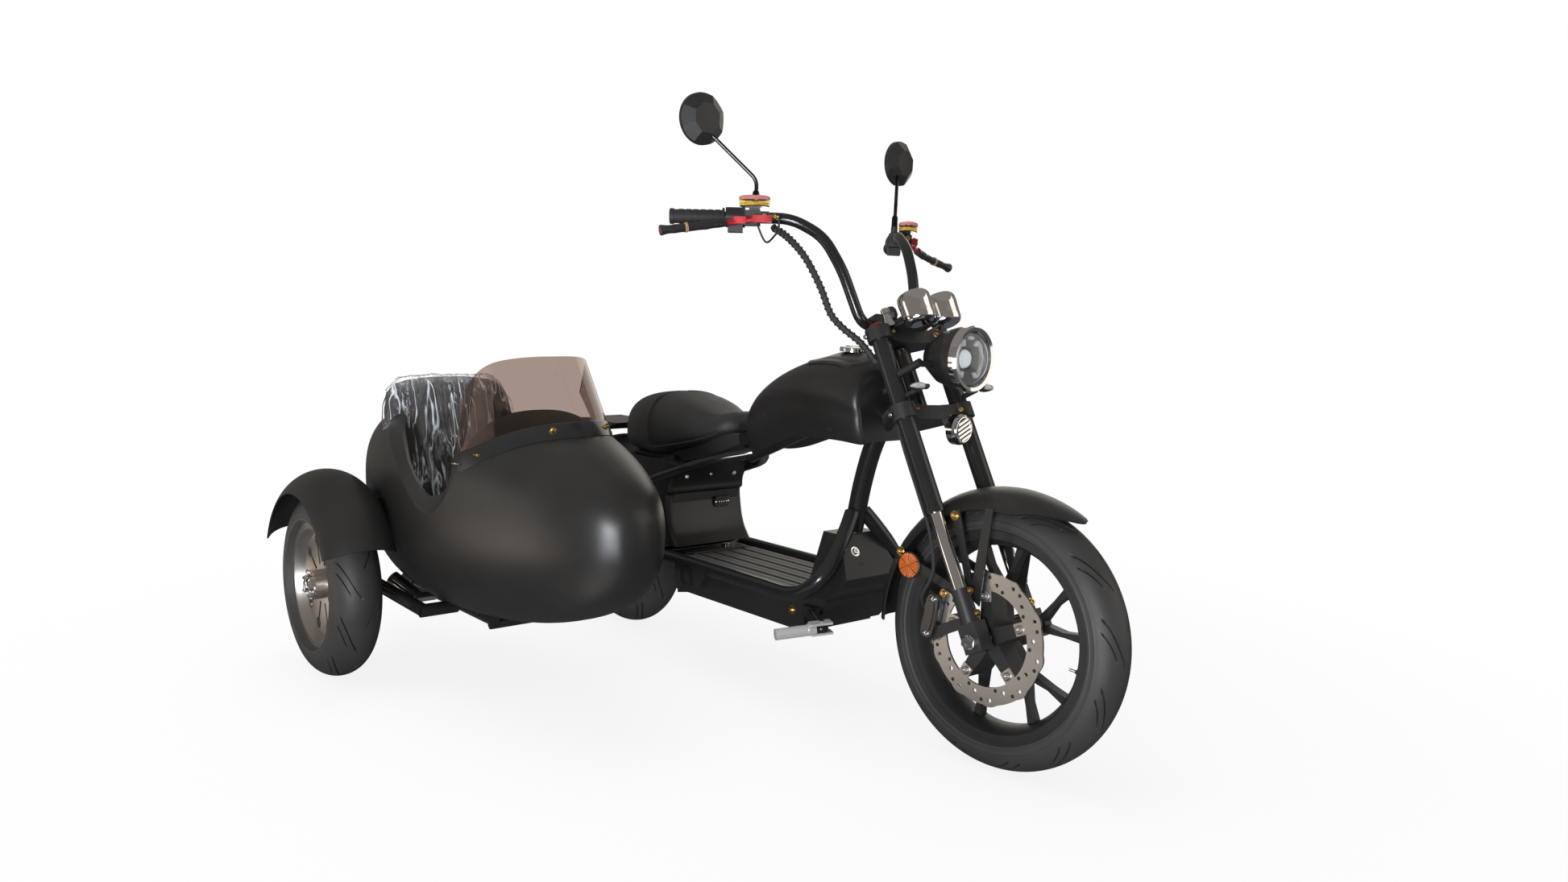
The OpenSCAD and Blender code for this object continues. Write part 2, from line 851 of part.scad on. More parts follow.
// Right and left seat rails, from the spine's end to the rear
seat_rail_d = 28;
fender_half_w = 112;
seat_rail_y = fender_half_w + seat_gap + seat_rail_d / 2;
seat_rail = [[-868, 8, 597], [-940, 84, 572], [-1010, seat_rail_y, 546], [-1250, seat_rail_y, 470],
    [-1380, seat_rail_y, 475], [-1640, seat_rail_y, 475]];
spine_d = 46;
down_tube_d = 46;
down_tube = [[-318, 0, 772] + lift, [-372, 0, 734] + lift, [-420, 0, 660], [-456, 0, 560], [-482, 0, cover_top + 6]];
module main_frame() {
    color(black)
        difference() {
            union() {
                head_axis()
                    translate([0, 0, head_foot])
                        cylinder(d = head_d, h = head_top - head_foot);
                rod(spine[0], spine[1], spine_d);
                sweep(through(down_tube, 5), down_tube_d / 2, 16);
                rear_half()
                    on_both_sides()
                        sweep(eased(seat_rail, 34), seat_rail_d / 2, 12);
            }
            head_bore();
        }
}

rail_y = 150;
module cradle_rails() {
    path = [[-476, down_tube_d / 2 + seat_gap, 472], [-476, 78, 472], [-458, 104, 392], [-480, 142, 318],
        [-560, rail_y, board_z], [-1160 + rear_shift, rail_y, board_z]];
    color(black)
        on_both_sides()
            sweep(eased(path, 26), rail_d / 2, 14);
}

module front_cover() {
    color(black)
        intersection() {
            translate([cover_back, 0, 0])
                rotate([90, 0, 90])
                    linear_extrude(200)
                        polygon([[-100, 206], [100, 206], [112, 240], [110, 290], [56, cover_top],
                            [-56, cover_top], [-110, 290], [-112, 240]]);
            rotate([90, 0, 0])
                linear_extrude(400, center = true)
                    polygon([[cover_back, 206], [-490, 214], [-459, 262], [-456, 285], [-410, 320],
                        [-405, 344], [-466, cover_top], [cover_back, cover_top]]);
        }
}

cover_back = -530;
board_w = 2 * rail_y - rail_d - 2 * seat_gap;
board_t = 8;
box_half = 112;
box_back = -1090 + rear_shift;
board_front = -560;
board_back = -1094 + rear_shift;
module battery_box() {
    color(black)
        translate([box_back, -box_half, belly_z])
            cube([cover_back - seat_gap - box_back, 2 * box_half, board_z - board_t - seat_gap - belly_z]);
}

module footboard() {
    ribs = 5;
    pitch = (board_w - 20) / ribs;
    color(grey)
        translate([board_back, -board_w / 2, board_z - board_t]) {
            cube([board_front - board_back, board_w, board_t]);
            for (k = [0 : ribs - 1])
                translate([16, 14 + k * pitch, board_t - 0.5])
                    cube([board_front - board_back - 34, pitch - 8, 4.5]);
        }
}

body_half = fender_half_w;
module rear_body() {
    color(black)
        difference() {
            rotate([90, 0, 0])
                linear_extrude(2 * body_half, center = true)
                    polygon([[-1100, 568], [-1104, 326], [-1280, 326], [-1354, 460], [-1354, 549], [-1170, 549]]);
            wheel_at(rear_axle_at)
                cylinder(r = small_r + 28, h = 400, center = true);
            translate([0, 0, -seat_gap])
                seat_form();
        }
}

// Tank cover's sections from front to rear: x, half width, top, widest and bottom heights
tank_table = [
    [-372, 60, 800, 750, 690],
    [-400, 92, 846, 760, 668],
    [-444, 118, 870, 776, 668],
    [-510, 127, 874, 784, 674],
    [-585, 128, 858, 786, 670],
    [-668, 120, 826, 774, 648],
    [-748, 102, 780, 744, 620],
    [-812, 78, 728, 702, 608],
    [-858, 48, 684, 664, 616]
];
function oval(x, yc, half, top, mid, low, power, n) = [
    for (k = [0 : n - 1])
        let (a = 360 * (k + 0.5) / n, c = cos(a), s = sin(a))
        [x, yc + half * sign(c) * pow(abs(c), power),
            mid + (s > 0 ? top - mid : mid - low) * sign(s) * pow(abs(s), power)]
];
function stations(table, n) = through(table, n);

module tank_cover() {
    rings = [for (r = stations(tank_table, 2)) oval(r[0], 0, r[1], r[2], r[3], r[4], 0.75, 28)];
    slope = atan2(spine[0].z - spine[1].z, spine[0].x - spine[1].x);
    slot = spine_d + 2 * clear;
    color(black)
        difference() {
            skin(rings);
            rod(spine[0] + [120, 0, 120 * tan(slope)], spine[1] - [120, 0, 120 * tan(slope)], spine_d + 2 * seat_gap);
            translate(spine[0])
                rotate([0, -slope, 0])
                    translate([-800, -slot / 2, -300])
                        cube([920, slot, 300]);
        }
}

// Seat sections from nose to rear: x, half width, crown and floor heights
seat_table = [
    [-906, 40, 686, 644],
    [-930, 78, 700, 632],
    [-1000, 112, 690, 604],
    [-1090, 140, 716, 573],
    [-1170, 150, 732, 550],
    [-1250, 148, 735, 550],
    [-1320, 130, 722, 552],
    [-1370, 96, 690, 562],
    [-1400, 52, 640, 580]
];
module seat_form() {
    skin([
        for (r = stations(seat_table, 2))
            let (mid = r[3] + 0.35 * (r[2] - r[3]))
            oval(r[0], 0, r[1], r[2], mid, r[3], 0.7, 24)
    ]);
}

module seat() {
    color(rubber)
        seat_form();
}

rear_crown_r = 340;
module rear_fender() {
    ring_r = rear_crown_r - fender_half_w;
    color(black)
        wheel_at(rear_axle_at)
            rotate([0, 0, 68])
                rotate_extrude(angle = 98, $fn = 96)
                    difference() {
                        translate([ring_r, 0])
                            circle(r = fender_half_w, $fn = 64);
                        translate([ring_r, 0])
                            circle(r = fender_half_w - fender_t, $fn = 64);
                        translate([0, -200])
                            square([ring_r - 16, 400]);
                    }
}

carrier_z = 618;
module rear_carrier() {
    rail_top = seat_rail[5].z + seat_rail_d / 2 + seat_gap;
    color(black) {
        difference() {
            translate([-1690, -80, carrier_z])
                cube([230, 160, 6]);
            for (x = [-1650, -1510])
                for (y = [-55, 55])
                    translate([x, y, carrier_z - 20])
                        cylinder(d = 8.4, h = 40);
        }
        for (x = [-1480, -1600]) {
            rod([x, -seat_rail_y, carrier_z - 6], [x, seat_rail_y, carrier_z - 6], 16);
            on_both_sides()
                rod([x, seat_rail_y, rail_top], [x, seat_rail_y, carrier_z - 2], 16);
        }
    }
}

module rear_lamps() {
    color(red)
        difference() {
            union() {
                translate([-1830, -50, 430])
                    cube([90, 100, 44]);
                rod([-1812, -150, 452], [-1812, 150, 452], 12);
                on_both_sides()
                    translate([-1840, 150, 452])
                        rotate([0, 90, 0])
                            cylinder(d = 40, h = 50);
            }
            wheel_at(rear_axle_at)
                cylinder(r = rear_crown_r + seat_gap, h = 110, center = true, $fn = 96);
        }
}

arm_y = 112;
module swingarm() {
    color(black) {
        on_both_sides()
            rod([-1130, arm_y, board_z], [-drawn_base, arm_y, small_r], 34);
        rod([-1130, -board_w / 2, board_z], [-1130, board_w / 2, board_z], 30);
        rod([-1190, -arm_y, 284], [-1190, arm_y, 284], 30);
        rod([-drawn_base, -arm_y - 26, small_r], [-drawn_base, arm_y + 26, small_r], axle_d);
    }
}

module rear_shocks() {
    low = [-1430, arm_y + 17 + seat_gap, 252];
    high = [-1350, seat_rail_y + seat_rail_d / 2 + seat_gap, 474];
    line_y = 158;
    color(steel)
        on_both_sides() {
            rod(low, [low.x, line_y + 8, low.z], 28);
            rod(high, [high.x, line_y + 8, high.z], 26);
            rod([low.x, line_y, low.z], [high.x, line_y, high.z], 15);
            rod(low * 0.84 + high * 0.16 + [0, line_y - low.y * 0.84 - high.y * 0.16, 0],
                low * 0.2 + high * 0.8 + [0, line_y - low.y * 0.2 - high.y * 0.8, 0], 42);
        }
}

peg_pin = [-365, 200, 255];
peg_tip = [-411, 300, 246];
module peg_brackets() {
    color(black)
        on_both_sides() {
            translate([-520, box_half + seat_gap, 242])
                cube([52, 18, 26]);
            rod([-494, box_half + 9, 255], peg_pin, 22);
            translate(peg_pin)
                sphere(d = 30);
        }
}

module foot_pegs() {
    out = unit(peg_tip - peg_pin);
    color(steel)
        on_both_sides()
            rod(peg_pin + out * (15 + seat_gap), peg_tip, 26);
}

// Sidecar
tub_mid = -tub_y;
// Tub's sections from nose to tail: x, half width, top, widest and bottom heights
tub_table = [
    [-505, 22, 516, 474, 440],
    [-518, 56, 548, 474, 398],
    [-555, 92, 588, 478, 346],
    [-620, 126, 624, 484, 302],
    [-720, 162, 664, 490, 260],
    [-865, 198, 704, 494, 222],
    [-1050, 228, 732, 496, 195],
    [-1260, 240, 742, 496, 185],
    [-1460, 226, 727, 496, 199],
    [-1640, 178, 690, 494, 236],
    [-1780, 118, 638, 488, 292],
    [-1870, 64, 584, 482, 356],
    [-1908, 24, 546, 478, 404]
];
tub_power = 0.82;
tub_rows = stations(tub_table, 2);
function tub_at(x, column) = lookup(x, [for (r = tub_rows) [r[0], r[column]]]);
// Height of the tub's upper skin at a place given from its own middle plane
function tub_top(x, y) =
    let (out = min(abs(y) / tub_at(x, 1), 1), rise = pow(1 - pow(out, 2 / tub_power), tub_power / 2))
    tub_at(x, 3) + (tub_at(x, 2) - tub_at(x, 3)) * rise;
module tub_skin(inset) {
    skin([
        for (r = tub_rows)
            oval(r[0] - sign(r[0] + 1180) * inset * 1.2, tub_mid, r[1] - inset, r[2] - inset,
                r[3], r[4] + inset, tub_power, 36)
    ]);
}

module cockpit_cut() {
    rotate([90, 0, 0])
        linear_extrude(2000, center = true)
            polygon([[-975, 900], [-975, 612], [-1000, 575], [-1050, 528], [-1095, 514], [-1150, 524],
                [-1230, 575], [-1300, 625], [-1420, 680], [-1560, 715], [-1600, 900]]);
}

module sidecar_tub() {
    color(black)
        difference() {
            tub_skin(0);
            tub_skin(tub_wall);
            cockpit_cut();
        }
}

module windscreen() {
    n = 24;
    rise = 5;
    half = 71;
    // Middle and half axes of the foot's curve in plan
    mid = [-1104, -9];
    reach = [343, 212];
    // How far the top leans back at the sides, how much more in the middle, and how far it narrows
    lean = [6, 98];
    narrows = 0.2;
    // Plan angle, from the left end to the right
    angles = [for (k = [0 : n]) half - 2 * half * k / n];
    function pane(a, v, in) =
        let (x = mid.x + (reach.x - in) * cos(a), y = (reach.y - in) * sin(a),
            foot = tub_top(x, mid.y + y) + 4 * seat_gap, top = 857 - 40 * pow(abs(sin(a)), 3))
        [x - (lean.x + lean.y * cos(a)) * v, tub_mid + mid.y + y * (1 - narrows * v), foot + v * (top - foot)];
    color(clear_lens)
        sheet([for (k = [0 : rise]) [for (a = angles) pane(a, k / rise, 0)]],
            [for (k = [0 : rise]) [for (a = angles) pane(a, k / rise, screen_t)]]);
}

module sidecar_seat() {
    color(rubber)
        intersection() {
            union() {
                translate([-1448, tub_mid, 330])
                    rotate([0, -12, 0])
                        rotate([90, 0, 90])
                            linear_extrude(72)
                                polygon([[-170, 0], [170, 0], [190, 250], [184, 372], [150, 426], [60, 440],
                                    [-60, 440], [-150, 426], [-184, 372], [-190, 250]]);
                translate([-1470, tub_mid - 180, 200])
                    cube([400, 360, 190]);
            }
            union() {
                tub_skin(tub_wall + seat_gap);
                translate([0, 0, clear])
                    cockpit_cut();
            }
        }
}

side_crown_r = 298;
// Distance of the wheel's stub axle boss from the scooter's middle plane
stub_y = -837;
module sidecar_fender() {
    crown = 104;
    ring_r = side_crown_r - crown;
    inner_y = stub_y - seat_gap;
    color(black) {
        wheel_at(sidecar_axle_at)
            rotate([0, 0, 26])
                rotate_extrude(angle = 132, $fn = 96)
                    difference() {
                        translate([ring_r, 0])
                            circle(r = crown, $fn = 64);
                        translate([ring_r, 0])
                            circle(r = crown - fender_t, $fn = 64);
                        translate([0, -2 * crown])
                            square([ring_r + 46, 4 * crown]);
                    }
        wheel_at([sidecar_axle_at.x, stub_y, small_r])
            for (a = [70, 110])
                rotate([0, 0, a])
                    rod([25 + seat_gap, 0, 0], [ring_r + 50, 0, 0], 12);
    }
}

frame_z = 190;
frame_d = 32;
// Inner and outer long tubes
frame_y = [-490, -664];
module sidecar_frame() {
    color(black)
        difference() {
            union() {
                for (y = frame_y)
                    rod([-1075, y, frame_z], [-1640, y, frame_z], frame_d);
                for (x = [-1100, -1330, -1610])
                    rod([x, frame_y[0], frame_z - 16], [x, frame_y[1], frame_z - 16], 28);
                for (x = [-1150, -1560])
                    for (y = frame_y)
                        translate([x, y, frame_z])
                            cylinder(d = 40, h = 90);
            }
            tub_skin(-seat_gap);
        }
}

module sidecar_struts() {
    color(black)
        for (x = [-1110, -1190]) {
            a = [x, -rail_y, board_z];
            b = [x, frame_y[0], frame_z];
            along = unit(b - a);
            rod(a + along * (rail_d / 2 + seat_gap), b - along * (frame_d / 2 + seat_gap), 28);
        }
}

module sidecar_arm() {
    axle = sidecar_axle_at;
    color(black)
        difference() {
            union() {
                rod([-1260, frame_y[1] - frame_d / 2 - seat_gap, frame_z], [-1260, -780, frame_z], 34);
                rod([-1260, -770, frame_z], [axle.x, stub_y, small_r], 34);
                rod([axle.x, stub_y + 16, small_r], [axle.x, stub_y - 16, small_r], 50);
                rod([axle.x, stub_y, small_r], [axle.x, axle.y - 36, small_r], axle_d);
            }
            tub_skin(-seat_gap);
        }
}

module sidecar_shock() {
    color(chrome) {
        rod([-1400, frame_y[1] - frame_d / 2 - seat_gap, frame_z], [-1400, -740, frame_z], 26);
        rod([-1400, -730, frame_z], [-1468, -770, 236], 40);
    }
}

// Every piece in its place
placed() {
    main_frame();
    cradle_rails();
    front_cover();
    battery_box();
    footboard();
    tank_cover();
    peg_brackets();
    foot_pegs();
    upper_clamp();
    lower_clamp();
    fork_tubes();
    stanchions();
    axle_clamps();
    front_axle();
    handlebar();
    grips();
    controls();
    levers();
    reservoirs();
    mirrors();
    headlamp();
    headlamp_ring();
    headlamp_lens();
    gauge_pods();
    front_indicators();
    horn();
    front_fender();
    caliper();
    brake_hose();
    cable_loom();
    front_tyre();
    front_rim();
    brake_disc();
    rear_half() {
        rear_body();
        seat();
        rear_fender();
        rear_lamps();
        swingarm();
        rear_shocks();
        rear_carrier();
        sidecar_frame();
        sidecar_struts();
        sidecar_tub();
        windscreen();
        sidecar_seat();
        sidecar_fender();
        sidecar_arm();
        sidecar_shock();
        rear_tyre();
        rear_rim();
        sidecar_tyre();
        sidecar_rim();
    }
}
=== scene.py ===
from math import acos, asin, atan2, copysign, cos, degrees, hypot, pi, radians, sin, sqrt
import bmesh
import bpy
from mathutils import Matrix, Vector, noise


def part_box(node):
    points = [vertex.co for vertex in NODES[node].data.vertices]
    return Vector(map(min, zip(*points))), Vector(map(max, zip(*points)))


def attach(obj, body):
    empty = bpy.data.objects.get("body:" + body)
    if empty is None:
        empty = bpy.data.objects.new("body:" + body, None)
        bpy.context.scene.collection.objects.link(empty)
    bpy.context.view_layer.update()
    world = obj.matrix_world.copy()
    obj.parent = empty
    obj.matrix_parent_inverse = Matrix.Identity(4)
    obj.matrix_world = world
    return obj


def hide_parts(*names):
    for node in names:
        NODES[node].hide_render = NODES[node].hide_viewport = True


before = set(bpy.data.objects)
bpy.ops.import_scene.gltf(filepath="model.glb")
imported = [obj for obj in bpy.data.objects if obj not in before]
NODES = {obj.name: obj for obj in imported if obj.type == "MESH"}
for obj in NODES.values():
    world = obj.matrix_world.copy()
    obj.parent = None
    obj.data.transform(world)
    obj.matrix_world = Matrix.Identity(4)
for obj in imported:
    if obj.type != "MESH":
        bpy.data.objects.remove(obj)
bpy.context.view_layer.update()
scene = bpy.context.scene


# Places, in millimetres from the spot where the straight-ahead front tyre meets the ground
def move(x, y, z):
    return Matrix.Translation((x, y, z))


def turn(angle, axis):
    """Turn by an angle in degrees."""
    return Matrix.Rotation(radians(angle), 4, axis)


def mirrored(side):
    return Matrix.Scale(side, 4, (0, 1, 0))


def facing(at, direction):
    """Local Z along a direction, at a place."""
    z = Vector(direction).normalized()
    x = Vector((0, 0, 1)) if abs(z.z) < 0.9 else Vector((1, 0, 0))
    x = (x - z * x.dot(z)).normalized()
    return move(*at) @ Matrix((x, z.cross(x), z)).transposed().to_4x4()


RAKE = 27
STEER = 6
FORK_OFFSET = 45
LEG_Y = 105
FRONT_R = 293
SMALL_R = 243.5
FRONT_AXLE_Z = 292.732
rear_lo, rear_hi = (Vector(c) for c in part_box("rear_tyre"))
MID = Vector((-1.5, 0, 0)) - (rear_lo + rear_hi) / 2
MID.z = 0
PLACE = move(*-MID) @ Matrix.Scale(0.001, 4)
PIVOT = Vector((-FORK_OFFSET * cos(radians(RAKE)), 0, FRONT_AXLE_Z - FORK_OFFSET * sin(radians(RAKE))))
# Local Z runs up the steering axis, X forward of it
FORK = PLACE @ move(*PIVOT) @ turn(-RAKE, "Y") @ turn(STEER, "Z")
STEERED = FORK @ turn(RAKE, "Y") @ move(*-PIVOT)
SIDEWAYS = turn(90, "X")
FRONT_WHEEL = FORK @ move(FORK_OFFSET, 0, 0) @ SIDEWAYS
REAR_WHEEL = PLACE @ move(-1500, 0, SMALL_R) @ SIDEWAYS
SIDE_WHEEL = PLACE @ move(-1474, -931, SMALL_R) @ SIDEWAYS


# Materials
def node(tree, kind, inputs=None, **settings):
    """New node. Each input is linked to a socket or given a plain value."""
    n = tree.nodes.new(kind)
    for key, value in settings.items():
        setattr(n, key, value)
    fill(tree, n, inputs or {})
    return n


def fill(tree, n, inputs):
    for key, value in inputs.items():
        if isinstance(value, bpy.types.NodeSocket):
            tree.links.new(value, n.inputs[key])
        else:
            n.inputs[key].default_value = value


def emptied(holder):
    """Node tree of a material or world, with nothing in it."""
    holder.use_nodes = True
    holder.node_tree.nodes.clear()
    return holder.node_tree


def new_material(name):
    m = bpy.data.materials.new(name)
    tree = emptied(m)
    shader = node(tree, "ShaderNodeBsdfPrincipled")
    node(tree, "ShaderNodeOutputMaterial", {"Surface": shader.outputs["BSDF"]})
    return m, tree, shader


def combined(tree, operation, a, b):
    return node(tree, "ShaderNodeMath", {0: a, 1: b}, operation=operation).outputs[0]


def ramp(tree, source, low, high):
    r = node(tree, "ShaderNodeValToRGB", {"Fac": source})
    for e, place, colour in zip(r.color_ramp.elements, (0.3, 0.7), (low, high)):
        e.position = place
        e.color = (*colour, 1)
    return r.outputs["Color"]


def spread(tree, source, low, high):
    return node(tree, "ShaderNodeMapRange", {"Value": source, "To Min": low, "To Max": high}).outputs["Result"]


def grain(tree, scale, detail=3, stretch=None, cells=False):
    source = node(tree, "ShaderNodeTexCoord").outputs["Object"]
    if stretch:
        source = node(tree, "ShaderNodeMapping", {"Vector": source, "Scale": stretch}).outputs["Vector"]
    if cells:
        return node(tree, "ShaderNodeTexVoronoi", {"Vector": source, "Scale": scale}).outputs["Distance"]
    return node(tree, "ShaderNodeTexNoise", {"Vector": source, "Scale": scale, "Detail": detail}).outputs["Fac"]


def bumped(tree, shader, source, depth, strength=1.0):
    bump = node(tree, "ShaderNodeBump", {"Height": source, "Strength": strength, "Distance": depth})
    fill(tree, shader, {"Normal": bump.outputs["Normal"]})


def surface(name, low, high, rough, metal=0.0, patches=6, fine=900, depth=0.0001, cells=False, coat=0.0):
    m, tree, shader = new_material(name)
    fill(tree, shader, {
        "Base Color": ramp(tree, grain(tree, patches, 4), low, high),
        "Roughness": spread(tree, grain(tree, patches * 3, 5), *rough),
        "Metallic": metal, "Coat Weight": coat, "Coat Roughness": 0.12})
    bumped(tree, shader, grain(tree, fine, 2, cells=cells), depth)
    return m


def grey(v, warm=0.0):
    return (v * (1 + warm), v, v * (1 - warm))


body_black = surface("body_black", grey(0.013, 0.05), grey(0.018, 0.05), (0.34, 0.39), fine=1400, depth=0.00006)
frame_black = surface("frame_black", grey(0.012), grey(0.017), (0.13, 0.2), fine=700, depth=0.00005)
cast_black = surface("cast_black", grey(0.014), grey(0.022), (0.36, 0.48), fine=1800, depth=0.00012)
rubber = surface("rubber", grey(0.016), grey(0.024), (0.55, 0.7), fine=2500)
tyre_rubber = surface("tyre_rubber", grey(0.026, 0.04), grey(0.042, 0.04), (0.46, 0.62), fine=1600, depth=0.00015)
board_grey = surface("board_grey", grey(0.05), grey(0.065), (0.5, 0.62), fine=1500)
vinyl = surface("vinyl", grey(0.016), grey(0.022), (0.42, 0.55), fine=650, depth=0.0003, cells=True)
chrome = surface("chrome", grey(0.78), grey(0.86), (0.04, 0.1), 1, fine=300, depth=0.00001)
steel = surface("brushed_steel", grey(0.6, 0.05), grey(0.72, 0.05), (0.26, 0.36), 1, depth=0.00004)
cast_silver = surface("cast_silver", grey(0.5, 0.06), grey(0.62, 0.06), (0.25, 0.4), 1, depth=0.00006)
pale_metal = surface("pale_metal", grey(0.6), grey(0.7), (0.26, 0.36), 0.5, depth=0.00004)
grey_metal = surface("grey_metal", grey(0.12, 0.04), grey(0.17, 0.04), (0.32, 0.44), 1, fine=1200, depth=0.00006)
gold = surface("gold_bolts", (0.55, 0.36, 0.12), (0.68, 0.46, 0.18), (0.22, 0.34), 1, fine=1200, depth=0.00003)
red_metal = surface("red_metal", (0.36, 0.008, 0.016), (0.44, 0.014, 0.024), (0.24, 0.36), 0.35, fine=1500,
                    depth=0.00004, coat=0.3)
orange = surface("amber_lens", (0.42, 0.09, 0.012), (0.5, 0.12, 0.02), (0.12, 0.2), patches=20, fine=420,
                 depth=0.0006, cells=True)
red_lens = surface("red_lens", (0.3, 0.008, 0.012), (0.36, 0.012, 0.016), (0.12, 0.2), patches=20, fine=260,
                   depth=0.0006, cells=True)
white_plate = surface("pale_plastic", grey(0.5, 0.03), grey(0.58, 0.03), (0.4, 0.5), depth=0.00005)
pink = surface("pink_lid", (0.5, 0.17, 0.18), (0.58, 0.22, 0.22), (0.16, 0.26), fine=500, depth=0.00003, coat=0.4)
fluid = surface("brake_fluid", (0.6, 0.44, 0.07), (0.68, 0.5, 0.1), (0.1, 0.16), fine=200, depth=0.00003)
tan = surface("tan_band", (0.4, 0.24, 0.11), (0.46, 0.28, 0.14), (0.5, 0.6), depth=0.00005)
wrap = surface("black_wrap", grey(0.016), grey(0.024), (0.22, 0.36), fine=90, depth=0.0025)
black_chrome = surface("black_chrome", grey(0.03), grey(0.045), (0.24, 0.34), 1, fine=300, depth=0.00001)
strip_grey = surface("strip_grey", grey(0.1, 0.07), grey(0.125, 0.07), (0.48, 0.6), fine=1800, depth=0.0002)
pale_grey = surface("lamp_grey", grey(0.2, 0.03), grey(0.25, 0.03), (0.2, 0.3), fine=600, depth=0.00003, coat=0.6)


def see_through(name, colour, rough, ior, bump=(40, 2), depth=0.00002, strength=1.0, patches=(12, 4)):
    m, tree, shader = new_material(name)
    fill(tree, shader, {
        "Base Color": (*colour, 1), "Transmission Weight": 1.0, "IOR": ior,
        "Roughness": spread(tree, grain(tree, *patches), *rough)})
    bumped(tree, shader, grain(tree, *bump), depth, strength)
    return m


smoked = see_through("smoked_screen", (0.37, 0.285, 0.245), (0.0, 0.02), 1.3)
clear = see_through("clear_lens", (0.93, 0.95, 0.96), (0.0, 0.015), 1.45)
cup = see_through("fluid_cup", (0.95, 0.86, 0.5), (0.08, 0.14), 1.35)

MATERIAL = {
    frame_black: "main_frame cradle_rails rear_carrier swingarm peg_brackets sidecar_frame sidecar_struts "
                 "sidecar_arm handlebar fork_tubes mirrors",
    body_black: "front_cover battery_box rear_body tank_cover rear_fender sidecar_tub sidecar_fender "
                "front_fender headlamp",
    cast_black: "upper_clamp lower_clamp axle_clamps caliper controls front_rim rear_rim",
    rubber: "grips brake_hose cable_loom",
    board_grey: "footboard",
    vinyl: "seat sidecar_seat",
    tyre_rubber: "front_tyre rear_tyre sidecar_tyre",
    chrome: "stanchions headlamp_ring gauge_pods sidecar_shock horn",
    pale_metal: "foot_pegs",
    steel: "brake_disc rear_shocks front_axle",
    cast_silver: "sidecar_rim",
    red_metal: "levers",
    cup: "reservoirs",
    clear: "headlamp_lens front_indicators",
    smoked: "windscreen",
    red_lens: "rear_lamps",
}
for material, names in MATERIAL.items():
    for name in names.split():
        data = NODES[name].data
        data.materials.clear()
        data.materials.append(material)


# Facets of curved CAD pieces are shaded as one curve, and real edges stay sharp
def smooth_group(angle):
    g = bpy.data.node_groups.new("smooth_%d" % angle, "GeometryNodeTree")
    for way in ("INPUT", "OUTPUT"):
        g.interface.new_socket("Geometry", in_out=way, socket_type="NodeSocketGeometry")
    shape = node(g, "NodeGroupInput").outputs["Geometry"]
    bend = node(g, "GeometryNodeInputMeshEdgeAngle").outputs["Unsigned Angle"]
    sharp = {"Selection": combined(g, "GREATER_THAN", bend, radians(angle)), "Shade Smooth": False}
    for kind, inputs, settings in (
            ("GeometryNodeRemoveAttribute", {"Name": "custom_normal"}, {}),
            ("GeometryNodeMergeByDistance", {"Distance": 0.00002}, {}),
            ("GeometryNodeSetShadeSmooth", {}, {}),
            ("GeometryNodeSetShadeSmooth", sharp, {"domain": "EDGE"})):
        shape = node(g, kind, {"Geometry": shape, **inputs}, **settings).outputs["Geometry"]
    node(g, "NodeGroupOutput", {"Geometry": shape})
    return g


SMOOTH = smooth_group(32)
for n in NODES.values():
    n.modifiers.new("smooth", "NODES").node_group = SMOOTH


# Making of the scene's own pieces
def around(n, shift=0.0):
    """Angles of n points spaced evenly round a circle."""
    return [2 * pi * (k + shift) / n for k in range(n)]


def even(n):
    """Shares from 0 to 1 in n equal steps."""
    return [k / n for k in range(n + 1)]


